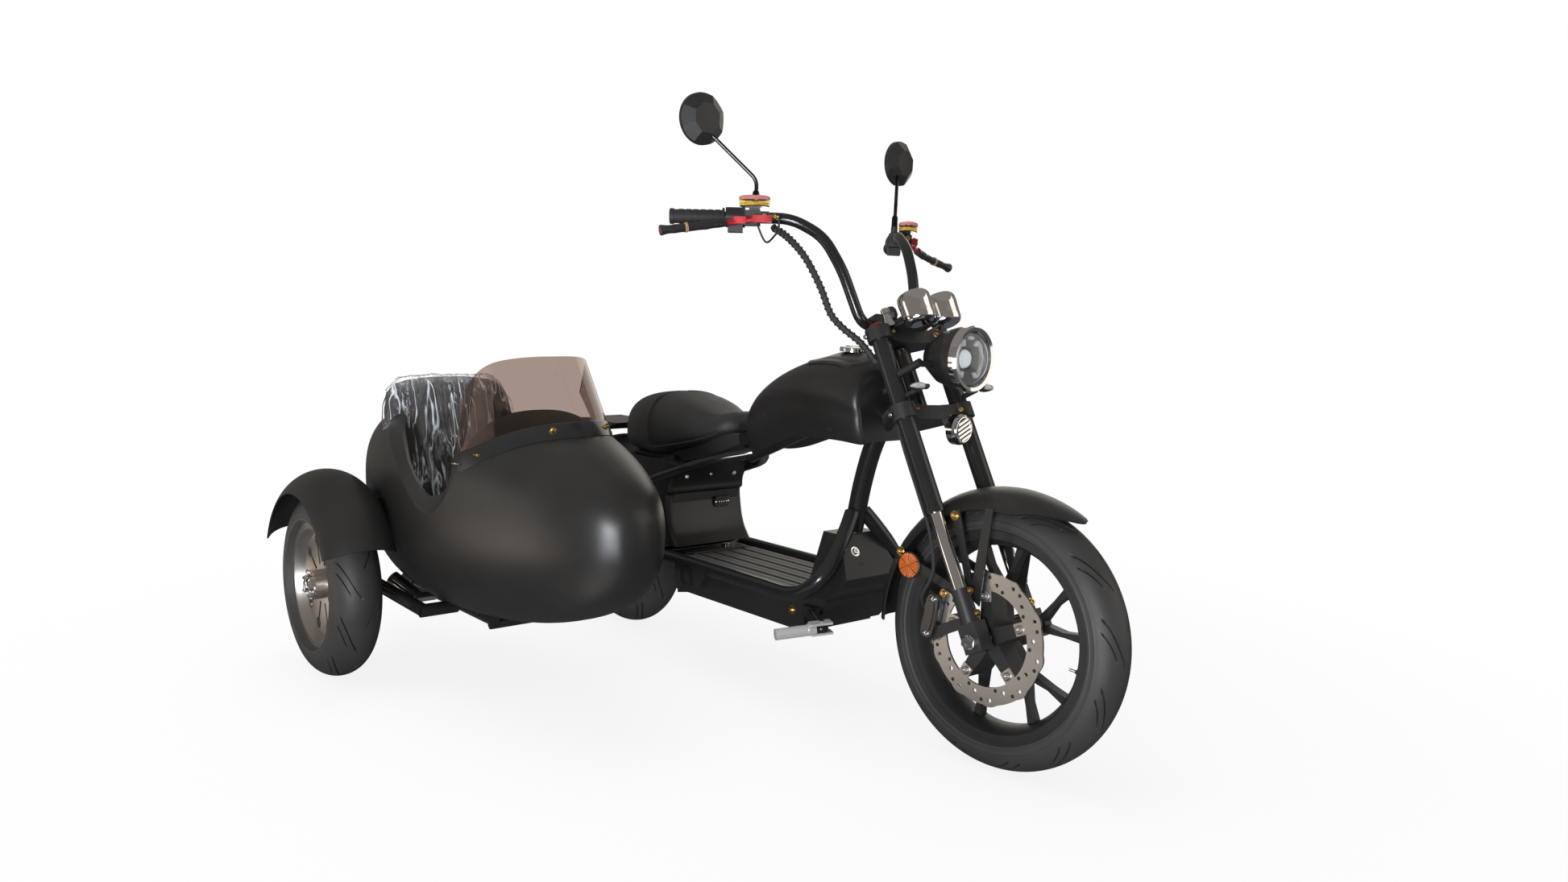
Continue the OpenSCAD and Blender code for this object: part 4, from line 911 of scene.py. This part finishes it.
shelf = Piece("gauge_shelf", "steering", "frame_black", cast_black, chrome, gold)
shelf.plate([(26, -58), (70, -58), (96, -40), (126, -14), (126, 14), (96, 40), (70, 58), (26, 58)], 5,
            FORK @ move(0, 0, 720.3))
for side in (1, -1):
    shelf.bolt(FORK @ move(86, side * 30, 725.3), 5, 5, 1)
    shelf.bolt(FORK @ move(44, side * 74, 720.3), 5.5, 6, 2)
shelf.done()

# Indicators: ribbed stalk, dark shell and a clear tip
tips = Piece("indicator_tips", "steering", "clear_lens", clear, white_plate, orange)
shells = Piece("indicator_shells", "steering", "frame_black", cast_black, rubber)
TIP = [(9, -12), (12, -6), (12.8, 4), (11.4, 16), (8, 26), (3.5, 32.5), (0, 34)]
for side in (1, -1):
    blink = FORK @ move(117.3, side * 119, 548) @ turn(-90 * side, "X") @ Matrix.Scale(0.66, 4, (0, 1, 0))
    tips.lathe([(0, -12)] + TIP, blink, 32)
    tips.lathe([(0, -8)] + [(r * 0.72, z * 0.86) for r, z in TIP], blink, 24, 1)
    tips.lathe([(0, 0), (3.4, 1), (3.4, 15), (0, 18)], blink @ move(5, 0, 0), 16, 2)
    part_lathe(shells, [(r * 1.07, z * 1.02) for r, z in TIP], blink, 120, 240, 24)
    part_lathe(shells, [(r * 1.05, z) for r, z in TIP], blink, 62, 118, 8)
    part_lathe(shells, [(r * 1.05, z) for r, z in TIP], blink, 242, 298, 8)
    stalk = [(0, -28)]
    for k in range(5):
        stalk += [(7, -28 + 3.4 * k), (8.6, -26.6 + 3.4 * k)]
    shells.lathe(stalk + [(9.4, -10.5), (0, -10.5)], blink, 28, 1)
tips.done(("front_indicators",))
shells.done()

# Horn's grille
grille = Piece("horn_grille", "steering", "chrome", chrome, cast_black)
HORN = STEERED @ move(-179, 30, 719) @ turn(90, "Y") @ turn(24, "Z")
grille.tube(ring_path(28), 3.2, HORN @ move(0, 0, 9), 10)
grille.lathe([(27, 9.6), (20, 10.4), (0, 10.8)], HORN, 40, 1)
for k in range(-2, 3):
    half = sqrt(26.5 ** 2 - (k * 9.6) ** 2)
    box(grille, (k * 9.6 - 3, -half, 0), (k * 9.6 + 3, half, 4), HORN @ move(0, 0, 10), 0, 1.2)
grille.done()

# Mirrors: a faceted back, a glass that faces the rider and a bent stem
GRIP = Vector((-194, 196, -10)).normalized()
BAR_END = Vector((-724, 388, 1166))
# From the bar's end in to the lever's perch
PERCH = 191


def at_grip(inward):
    spin = degrees(atan2(GRIP.y, GRIP.x))
    tip = degrees(acos(GRIP.z))
    return move(*(BAR_END - GRIP * inward)) @ turn(spin, "Z") @ turn(tip, "Y") @ turn(180, "Z")


MIRROR_R = 58.5
MIRROR_FLAT = 33
heads = Piece("mirror_heads", "steering", "frame_black", cast_black, chrome, black_chrome)
for side in (1, -1):
    base = STEERED @ mirrored(side)
    head = base @ move(-676, 350, 1388) @ turn(6, "Z") @ turn(90, "Y")
    outer, inner, middle = [], [], []
    for t in around(64):
        off = (t + pi / 8) % (pi / 4) - pi / 8
        c, s = cos(t), sin(t)
        r = MIRROR_FLAT / cos(off)
        inner.append((r * c, r * s, 21))
        middle.append((0.3 * r * c, 0.3 * r * s, 23))
        outer.append((MIRROR_R * c, MIRROR_R * s, 21 - 0.82 * (MIRROR_R * cos(off) - MIRROR_FLAT)))
    rim = [[(r * x / MIRROR_R, r * y / MIRROR_R, z) for x, y, _ in outer] for r, z in ((56, -11.5), (MIRROR_R, -9))]
    layers = heads.grid(rim + [outer, inner, middle], head, True)
    heads.face(layers[-1])
    heads.lathe([(56, -11.5), (54, -10.2), (0, -10.2)], head, 64, 1)
    foot = BAR_END - GRIP * PERCH + Vector((0, 0, 34.3)) - 6 * Vector((GRIP.y, -GRIP.x, 0))
    neck = Vector((-668, 334, 1358))
    heads.tube(bend(foot, foot + Vector((0, 0, 52)), neck, 16), 4.6, base, 14, 2)
    heads.lathe([(8.4, 0), (8.4, 22), (6.4, 27), (4.8, 28)], base @ move(*foot), 6, 2)
    heads.tube([neck - (neck - foot).normalized() * 4, neck + Vector((-2, 6, 16))], 7.4, base, 14)
heads.done(("mirrors",), 12)

# Brake fluid cups with their lids
cups = Piece("fluid_cups", "steering", "clear_lens", cup, fluid, pink, chrome)
for side in (1, -1):
    m = STEERED @ mirrored(side) @ at_grip(PERCH) @ move(21, 30, 0) @ turn(90, "Y") @ Matrix.Scale(1.42, 4, (1, 0, 0))
    cups.lathe([(22, 0), (24, 1), (25, 13), (25, 15.6), (23.6, 15.6), (23, 2), (0, 2), (0, 0), (22, 0)], m, 48)
    cups.lathe([(22.4, 2.6), (23, 9.5), (0, 9.5)], m, 48, 1)
    cups.lathe([(25, 15.8), (25.2, 18), (25, 21), (23.5, 23.6), (20, 25), (0, 25)], m, 48, 2)
    for x in (-15, 15):
        cups.lathe([(2.6, 24.6), (2.6, 26), (0, 26.4)], m @ move(x, 0, 0), 12, 3)
cups.done(("reservoirs",))

# Levers: red ends at the pivots and blades still in their black wrapping
blades = Piece("lever_wraps", "steering", "red_parts", wrap, tan, red_metal, gold, rubber)
BLADE = [(-6, 45.6, -36), (-8, 45.6, 0), (-14, 47, 40), (-24, 60, 100), (-34, 80, 160), (-42, 100, 206)]
for side, opened in ((1, 66), (-1, 0)):
    m = STEERED @ mirrored(side) @ at_grip(PERCH)
    path = through([(x, y + opened * (max(z, 0) / 206) ** 1.5, z) for x, y, z in BLADE], 10)
    sleeve = [p for p in path if p.z > 62]

    def bulge(t):
        return 9.6 + 1.6 * noise.noise(Vector((t * 9, side, 0.5))) + 2.2 * eased((t - 0.8) / 0.2)

    blades.tube(sleeve, bulge, m, 14)
    band = int(len(sleeve) * 0.52)
    at = sleeve[band]
    along = (sleeve[band + 1] - at).normalized()
    for k in range(3):
        blades.tube(ring_path(10.4, 24), 1.1, m @ facing(at + along * (2.4 * k), along), 6, 1)
    box(blades, (-15, 38, 0), (1, 53, 46), m @ move(0, 0, -40), 2, 2)
    box(blades, (-19, 40, 0), (-3, 54, 30), m @ move(0, 0, 18), 2, 2)
    blades.bolt(m @ move(1, 45.6, -22) @ turn(90, "Y"), 5, 4, 3)
    blades.lathe([(5.5, 0), (5.5, 9), (7.5, 9), (7.5, 15), (4, 16), (4, 22), (0, 22)],
                 m @ move(0, 26, -34) @ turn(180, "Y"), 6, 3)
blades.done()

# Loom with a spiral wrap, and the two thin cables that run into it
LOOM = through([(-559.5, -221.5, 1153.5), (-508, -224, 1130), (-453, -220, 1085), (-419, -200, 1020),
                (-402, -180, 962), (-383, -158, 932), (-350, -130, 900), (-320.5, -108, 858.7)], 14)
spiral = Piece("loom_wrap", "steering", "mat_rubber", rubber)
helix, run = [], 0.0
side = Vector((0.3, 0.9, 0.3))
for a, b in zip(LOOM, LOOM[1:]):
    along = (b - a).normalized()
    side = (side - along * side.dot(along)).normalized()
    for k in range(8):
        t = run / 13 * 2 * pi
        helix.append(a.lerp(b, k / 8) + 7.2 * (cos(t) * side + sin(t) * along.cross(side)))
        run += (b - a).length / 8
spiral.tube(helix, 2.1, STEERED, 6)
perch = mirrored(-1) @ at_grip(PERCH)
for start, sag in (((-16, 30, -6), -34), ((-4, 28, -56), -14)):
    p = perch @ Vector(start)
    q = Vector((-536, -223, 1143))
    spiral.tube(through([p, p.lerp(q, 0.45) + Vector((0, 0, sag)), q, (-500, -223.6, 1125)], 10), 2.4, STEERED, 8)
spiral.done(sharp=60)

# Red caps on the fork legs, the ignition's barrel and the clamps' pinch bolts
caps = Piece("fork_caps", "steering", "red_parts", red_metal, chrome, cast_black, gold)
for side in (1, -1):
    caps.lathe([(16.5, -3), (16.5, 3), (14.5, 5.4), (9, 5.4), (8, 4), (0, 4)],
               FORK @ move(FORK_OFFSET, side * LEG_Y, 724), 40)
    for z, r in ((517, 32), (705, 33)):
        for x, y, mat in ((-0.45, 0.89, 1), (0.62, -0.78, 3)):
            at = (FORK_OFFSET + x * r, side * (LEG_Y + y * r), z)
            caps.bolt(FORK @ facing(at, (x, side * y, 0)), 4.2, 5, mat)
KEY = FORK @ move(62, -79, 718)
caps.lathe([(10.5, 0), (10.5, 16), (8.6, 17), (8.6, 30), (10.6, 31), (10.6, 42), (8.5, 44), (0, 44)], KEY, 32, 1)
caps.lathe([(0, 0), (11, 2), (15, 10), (15, 22), (11, 30), (0, 32)], FORK @ move(62, -62, 735), 28, 2)
caps.done(sharp=30)

# Front wheel's surroundings: gold bolts, the amber reflector, caliper and axle nuts
fork_bolts = Piece("fork_bolts", "steering", "chrome", gold, chrome, orange, cast_black, grey_metal)
for x, y, z in ((31, 265, 84.9), (-137, 239, 88)):
    fork_bolts.bolt(FRONT_WHEEL @ move(x, y, z), 7.5, 8, 0)
    fork_bolts.bolt(FRONT_WHEEL @ turn(180, "X") @ move(x, -y, z), 7.5, 8, 0)
for side in (1, -1):
    for z in (103, 54):
        fork_bolts.bolt(FORK @ facing((64.4, side * 101, z), (0.98, -side * 0.2, 0)), 6.6, 8, 0)
    ends = FRONT_WHEEL @ (turn(180, "X") if side < 0 else Matrix.Identity(4))
    fork_bolts.lathe([(15, 131.5), (15, 140), (13, 142), (7, 142), (7, 138), (0, 138)], ends, 6, 1)
fork_bolts.bolt(FRONT_WHEEL @ move(-55, 118, 92), 6, 8, 0)
LENS = FRONT_WHEEL @ move(-126, 203, 85)
fork_bolts.lathe([(30, 0), (30, 5), (28.6, 6)], LENS, 48, 3)
for k in range(6):
    a, b = radians(60 * k + 2), radians(60 * k + 58)
    rows = []
    for r, up in ((27.8, 5.2), (26.6, 7.4), (2, 8.6)):
        rows.append([(r * cos(a + (b - a) * t / 8), r * sin(a + (b - a) * t / 8), up - 0.9 * (t % 2))
                     for t in range(9)])
    fork_bolts.grid(rows, LENS, False, 2)
fork_bolts.lathe([(29, 5.4), (0, 5.4)], LENS, 48, 3)
CALIPER = FRONT_WHEEL @ turn(143, "Z") @ move(138, 0, 85)
fork_bolts.plate(rounded(19, 52, 0.55), 9, CALIPER, 4, 4)
fork_bolts.plate(rounded(11, 36, 0.6), 4, CALIPER @ move(0, 0, 8.4), 2, 4)
for y in (-40, 40):
    fork_bolts.lathe([(7, 0), (7, 13), (5, 14), (0, 14)], CALIPER @ move(-2, y, 0), 24, 1)
for side in (1, -1):
    fork_bolts.tube([(-6, side * 52, -18), (-6, side * 64, -18)], 8, CALIPER, 14, 4)
fork_bolts.lathe([(6, 0), (6, 12), (8, 13), (8, 20), (0, 20)], CALIPER @ move(14, -6, -18) @ turn(90, "Y"), 6, 0)
fork_bolts.done(sharp=30)

# On the front wheel: disc bolts, thin dark discs on the disc's face as painted shade in its holes, and the valve
disc_bolts = Piece("disc_bolts", "front_wheel", "aluminium", cast_silver, cast_black, rubber)
for k in range(5):
    spot = FRONT_WHEEL @ turn(-3 + 72 * k, "Z") @ move(90, 0, 72.5)
    disc_bolts.lathe([(10.5, 0), (10.5, 1.4), (8.6, 1.8), (8.2, 4.6), (6.6, 6), (4.2, 6), (3.8, 2.6), (0, 2.6)],
                     spot, 24)
# Painted shade: a thin dark disc over each of the disc's holes
for k in range(20):
    spot = FRONT_WHEEL @ turn(18 * k + 9, "Z") @ move(110 + 21 * (k % 2), 0, 72.4)
    disc_bolts.lathe([(4.2, 0), (4.2, 0.25), (0, 0.25)], spot, 16, 1)
VALVE = FRONT_WHEEL @ turn(-38, "Z")
disc_bolts.tube([(203, 0, 14), (190, 0, 16)], 4.6, VALVE, 12, 2)
disc_bolts.tube([(190, 0, 16), (177, 0, 20)], 3, VALVE, 12, 0)
disc_bolts.done()


# Rear body's front: a hollow between the lip under the seat and the foot, with a step halfway
cove = Piece("rear_cove", "chassis", "body_black", body_black, cast_black, chrome)
HOLLOW = through([(-1054, 318), (-1064, 330), (-1080, 352), (-1093, 384), (-1101, 424), (-1104, 452), (-1101, 458),
                  (-1093, 464), (-1092, 482), (-1086, 500), (-1071, 520), (-1057, 535), (-1053, 543),
                  (-1060, 551), (-1104, 556)], 5)
ACROSS = [(-134, 70), (-134, 22), (-130, 9), (-122, 2), (-112, 0), (112, 0), (122, 2), (130, 9), (134, 22), (134, 70)]
cove.grid([[(min(x - back, -1096) if back > 60 else x - back, y, z) for y, back in ACROSS] for x, z in HOLLOW])
SOCKET = PLACE @ facing((-1099, 52, 424), (1, 0, 0.06))
cove.plate(rounded(14, 26, 0.5), 5, SOCKET, 2, 1)
cove.plate(rounded(8, 19, 0.5), 2, SOCKET @ move(0, 0, 4.4), 0.5, 1)
for y in (-12, -4, 4, 12):
    cove.lathe([(2.2, 5), (2.2, 9), (0, 10)], SOCKET @ move(0, y, 0), 12, 2)
for y in (-21.5, 21.5):
    cove.lathe([(2.6, 4.6), (2.6, 6), (0, 6.4)], SOCKET @ move(0, y, 0), 12, 2)
box(cove, (12, -24, 0), (16, 24, 13), SOCKET, 1, 1.5)
for x, y, z in ((-1082, 1, 510), (-1080, 82, 507), (-1080, -82, 507)):
    cove.bolt(PLACE @ facing((x, y, z), (0.85, 0, -0.5)), 5.5, 5, 2)
cove.done(sharp=24)

# Seat's base between the cushion and the rails
base = Piece("seat_base", "chassis", "body_black", cast_black)
rows = []
for x, half, high, low in through([(-892, 46, 646, 612), (-940, 66, 640, 590), (-1000, 84, 614, 566),
                                   (-1090, 98, 586, 548), (-1200, 104, 562, 540), (-1330, 92, 560, 540)], 6):
    rows.append([(x, half - 6, high), (x, half, high - 6), (x, half - 4, low + 5), (x, half - 10, low),
                 (x, 10 - half, low), (x, 4 - half, low + 5), (x, -half, high - 6), (x, 6 - half, high)])
base.capped(rows)
base.done(sharp=30)

# Footboard: pale strips on the ribs, a plate at the rear end and its lock
strips = Piece("board_strips", "chassis", "mat_rubber", strip_grey, cast_black, chrome)
RIB_PITCH = 48.3
STRIP_OFF = 9.8
STRIP_HALF = 8.2
for k in range(-2, 3):
    for y in (k * RIB_PITCH - STRIP_OFF, k * RIB_PITCH + STRIP_OFF):
        low, high = y - STRIP_HALF, y + STRIP_HALF
        strips.plate([(-1026, low), (-574, low), (-568, y), (-574, high), (-1026, high)], 1.8,
                     PLACE @ move(0, 0, 295.8), 0.8)
strips.plate([(-1092, -104), (-1046, -104), (-1030, -90), (-1030, 90), (-1046, 104), (-1092, 104)], 6.5,
             PLACE @ move(0, 0, 295), 2, 1)
strips.lathe([(12, 0), (12, 3.4), (10.4, 4.6), (6, 4.6), (5, 3.8), (0, 3.8)], PLACE @ move(-1072, 52, 301.4), 32, 2)
strips.done(sharp=30)

# Cradle rails: they lean in at the front and meet the down tube
rail_lo, rail_hi = (1000 * (Vector(c) + MID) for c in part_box("cradle_rails"))
rail_r = rail_hi.y - 150
rails = Piece("cradle_tubes", "chassis", "frame_black", frame_black)
floor_z = rail_lo.z + rail_r
RAIL = through([(-468, 20, 490), (-456, 48, 455), (-447, 82, 412), (-446, 112, 370), (-460, 137, 336),
                (-500, 148, 305), (-560, 150, floor_z), (-640, 150, floor_z)], 8) + [Vector((rail_lo.x, 150, floor_z))]
for side in (1, -1):
    rails.tube([(x, side * y, z) for x, y, z in RAIL], rail_r, PLACE, 24)
rails.done(("cradle_rails",), 40)

# Bolts, plates and small fittings along the frame
fittings = Piece("frame_fittings", "chassis", "chrome", chrome, frame_black, pale_metal, cast_black, gold)
fittings.bolt(PLACE @ facing((-441, -32, 401), (0.84, 0, 0.54)), 8.5, 6, 0)
fittings.plate(rounded(4, 10, 0.6), 1.6, PLACE @ facing((-424, -27, 373.4), (0.84, 0, 0.54)), 0.6, 3)
for side in (1, -1):
    fittings.bolt(PLACE @ facing((-576, side * 112, 241), (0, side, 0)), 8, 6, 4)
    fittings.plate([(-1000, 301), (-851, 300), (-893, 230), (-983, 212)], 6,
                   PLACE @ move(0, side * 172 + 3, 0) @ turn(90, "X"), 1, 1)
    fittings.lathe([(26, -1), (26, 5), (20, 6), (20, 2), (0, 2)],
                   PLACE @ facing((-942, side * 175, 262), (0, side, 0)), 32, 1)
    clevis = PLACE @ facing((-364, side * 200, 257), (-0.42, side * 0.91, -0.08))
    for x in (-14, 9):
        box(fittings, (x, -15, 0), (x + 5, 15, 52), clevis @ move(0, 0, -22), 2, 1.5)
    fittings.lathe([(13.6, -2), (13.6, 4), (12.4, 6)], clevis @ move(0, 0, 30), 24, 2)
    fittings.lathe([(6, -17), (6, 17), (0, 17)], clevis @ turn(90, "Y"), 20, 0)
    for x, share in ((-709, 1.42), (-462, 1.78)):
        at = tank_point(x, share, side)
        fittings.lathe([(7, -2), (7, 1.2), (5.4, 2), (3, 2), (2.4, 0.4), (0, 0.4)],
                       PLACE @ facing(at, (0, side, -0.25)), 20, 3)
fittings.done(sharp=30)

# Sidecar wheel's hub cap and nuts
hub = Piece("side_hub", "sidecar_wheel", "chrome", chrome, cast_silver)
hub.lathe([(38.6, 50), (38.6, 53), (36, 55), (20, 55.4), (17, 60), (16, 66), (12, 68.5), (0, 69)], SIDE_WHEEL, 48)
for k in range(5):
    nut = SIDE_WHEEL @ turn(72 * k, "Z") @ move(27, 0, 54)
    hub.lathe([(6.6, 0), (6.6, 8), (5, 9.4), (3, 9.4), (3, 13), (0, 13.4)], nut, 6, 0)
hub.done(sharp=30)

# Rear lamps: a tail lens in a dark case and round indicators on a rod
tail = Piece("tail_lens", "chassis", "red_parts", red_lens, orange, cast_black, chrome)
TAIL = PLACE @ facing((-1826, 0, 452), (-1, 0, 0))
tail.plate(rounded(19, 47, 0.45), 4, TAIL, 2, 0)
tail.plate(rounded(22, 50, 0.4), 84, PLACE @ facing((-1742, 0, 452), (-1, 0, 0)), 4, 2)
tail.tube([(-1812, -152, 452), (-1812, 152, 452)], 6, PLACE, 16, 2)
for side in (1, -1):
    blink = PLACE @ move(-1840, side * 150, 452) @ turn(90, "Y")
    tail.lathe([(0, 0), (8, 0.4), (15, 3), (18, 8), (18, 12)], blink, 32, 1)
    tail.lathe([(18, 11), (19.6, 11), (19.6, 15), (17, 30), (12, 44), (8, 49), (0, 50)], blink, 32, 2)
tail.done(("rear_lamps",), 30)

# Bright clips at the ends of the screen's strip
clips = Piece("screen_clips", "chassis", "chrome", chrome)
for side in (1, -1):
    a = side * radians(69)
    at = strip_place(a, 24, 3.8)
    clips.plate(rounded(17, 9, 0.8), 4, PLACE @ facing(at, strip_place(a, 24, 20) - at), 1.5)
clips.done(sharp=30)


# Stage, light and camera
def white_mix(tree, output, plain, white, share):
    """Plain surface that shows, by a share, as white to the camera, in metal and through glass."""
    path = node(tree, "ShaderNodeLightPath").outputs
    seen = path["Is Camera Ray"]
    for ray in ("Is Glossy Ray", "Is Transmission Ray"):
        seen = combined(tree, "MAXIMUM", seen, path[ray])
    mix = node(tree, "ShaderNodeMixShader", {
        "Fac": combined(tree, "MULTIPLY", seen, share), 1: plain.outputs[0], 2: white.outputs[0]})
    node(tree, output, {"Surface": mix.outputs[0]})


def stage_sheet(name, corners, material):
    mesh = bpy.data.meshes.new(name)
    mesh.from_pydata(corners, [], [tuple(range(k, k + 4)) for k in range(0, len(corners), 4)])
    mesh.materials.append(material)
    o = bpy.data.objects.new(name, mesh)
    scene.collection.objects.link(o)
    return o


def patch(x0, y0, x1, y1, z=0.003):
    return [(x0, y0, z), (x1, y0, z), (x1, y1, z), (x0, y1, z)]


# The floor's share of white grows away from the object, so that the shadow stays and the edge goes
floor_mat = bpy.data.materials.new("stage_floor")
tree = emptied(floor_mat)
place = node(tree, "ShaderNodeNewGeometry").outputs["Position"]
reach = node(tree, "ShaderNodeVectorMath", {0: place}, operation="LENGTH").outputs["Value"]
share = node(tree, "ShaderNodeMapRange", {
    "Value": reach, "From Min": 0.9, "From Max": 2.6, "To Min": 0.86, "To Max": 1.0}, interpolation_type="SMOOTHSTEP")
plain = node(tree, "ShaderNodeBsdfDiffuse", {"Color": (0.9, 0.9, 0.9, 1)})
white_mix(tree, "ShaderNodeOutputMaterial", plain, node(tree, "ShaderNodeEmission"), share.outputs["Result"])
FAR = 30
stage_sheet("floor", patch(-FAR, -FAR, FAR, FAR, 0), floor_mat)

world = bpy.data.worlds.new("studio")
scene.world = world
tree = emptied(world)
plain = node(tree, "ShaderNodeBackground", {"Color": (0.95, 0.97, 1, 1), "Strength": 0.45})
white = node(tree, "ShaderNodeBackground", {"Color": (1, 1, 1, 1)})
white_mix(tree, "ShaderNodeOutputWorld", plain, white, 1)


# Studio cards: only shine and metal see them, so the black paint and the chrome keep their contrast
def card(name, corners, colour):
    material = bpy.data.materials.new(name)
    tree = emptied(material)
    glow = node(tree, "ShaderNodeEmission", {"Color": (*colour, 1)})
    node(tree, "ShaderNodeOutputMaterial", {"Surface": glow.outputs[0]})
    o = stage_sheet(name, corners, material)
    o.visible_camera = False
    o.visible_diffuse = False
    o.visible_shadow = False
    o.visible_transmission = False


CEILING = 4.8
WALL_R = 5.5
WALL_STEP = 6
LOW_WINDOW = 1.4


def wall(start, end, low=0, high=CEILING):
    """Corners of an upright band of cards round the object, between two azimuths in degrees."""
    corners = []
    for k in range(start, end, WALL_STEP):
        a, b = radians(k), radians(min(k + WALL_STEP, end))
        for angle, z in ((a, low), (b, low), (b, high), (a, high)):
            corners.append((WALL_R * cos(angle), WALL_R * sin(angle), z))
    return corners


card("wall_dim", wall(-60, 20) + wall(60, 100) + wall(140, 226) + wall(226, 246, LOW_WINDOW) + wall(246, 300),
     (0.2, 0.182, 0.165))
card("wall_bright", wall(20, 60) + wall(100, 140) + wall(226, 246, 0, LOW_WINDOW), (1.25, 1.17, 1.06))
card("ceiling", patch(-6, -6, 6, 6, CEILING), (0.24, 0.22, 0.2))
card("floor_dark", patch(-6, -6, 6, 6, 0.002), (0.085, 0.085, 0.095))
card("floor_lit", patch(-2.3, -1.3, -1.15, -0.75) + patch(0.1, -1, 0.62, -0.5), (0.85, 0.77, 0.68))
card("floor_cold", [(0.85, -1.85, 0.004), (1.95, -0.95, 0.004), (4.2, -2.5, 0.004), (2.1, -4.7, 0.004)],
     (8.6, 8.9, 10))
card("floor_warm", [(-0.75, -1.3, 0.004), (-0.15, -1.6, 0.004), (-1.1, -3.1, 0.004), (-2.1, -2.3, 0.004)],
     (2.4, 2.05, 1.65))


def lamp(name, at, aim, size, power, colour=(1, 1, 1), shines=True):
    data = bpy.data.lights.new(name, "AREA")
    data.shape = "RECTANGLE"
    data.size, data.size_y = size
    data.energy = power
    data.color = colour
    o = bpy.data.objects.new(name, data)
    o.location = at
    o.rotation_euler = (Vector(aim) - Vector(at)).to_track_quat("-Z", "Y").to_euler()
    o.visible_glossy = shines
    scene.collection.objects.link(o)


lamp("key", (3.05, -3.95, 0.6), (0.2, -0.4, 0.5), (1.1, 0.8), 150, (0.94, 0.96, 1))
lamp("top", (-0.6, -0.4, 4.6), (-0.2, 0, 0.4), (4, 2.4), 90, shines=False)
lamp("fill", (-2.5, -4.2, 2.4), (-0.3, -0.2, 0.4), (2.4, 2), 70, (1, 0.93, 0.85), False)

scene.view_settings.view_transform = "Standard"
# The photo's camera: place in metres in the drawing's frame, then azimuth, height and roll in degrees
EYE = Vector((1.629, -1.970, 0.985))
azimuth, height, roll = radians(50.46), radians(6.441), radians(1.218)
look = Vector((-sin(azimuth) * cos(height), cos(azimuth) * cos(height), -sin(height)))
right = look.cross(Vector((0, 0, 1))).normalized()
up = right.cross(look)
right, up = cos(roll) * right + sin(roll) * up, cos(roll) * up - sin(roll) * right
cam = bpy.data.cameras.new("camera")
cam.lens = 27.43
cam.sensor_width = 36
cam_object = bpy.data.objects.new("camera", cam)
cam_object.matrix_world = move(*(EYE - MID)) @ Matrix((right, up, -look)).transposed().to_4x4()
scene.collection.objects.link(cam_object)
scene.camera = cam_object
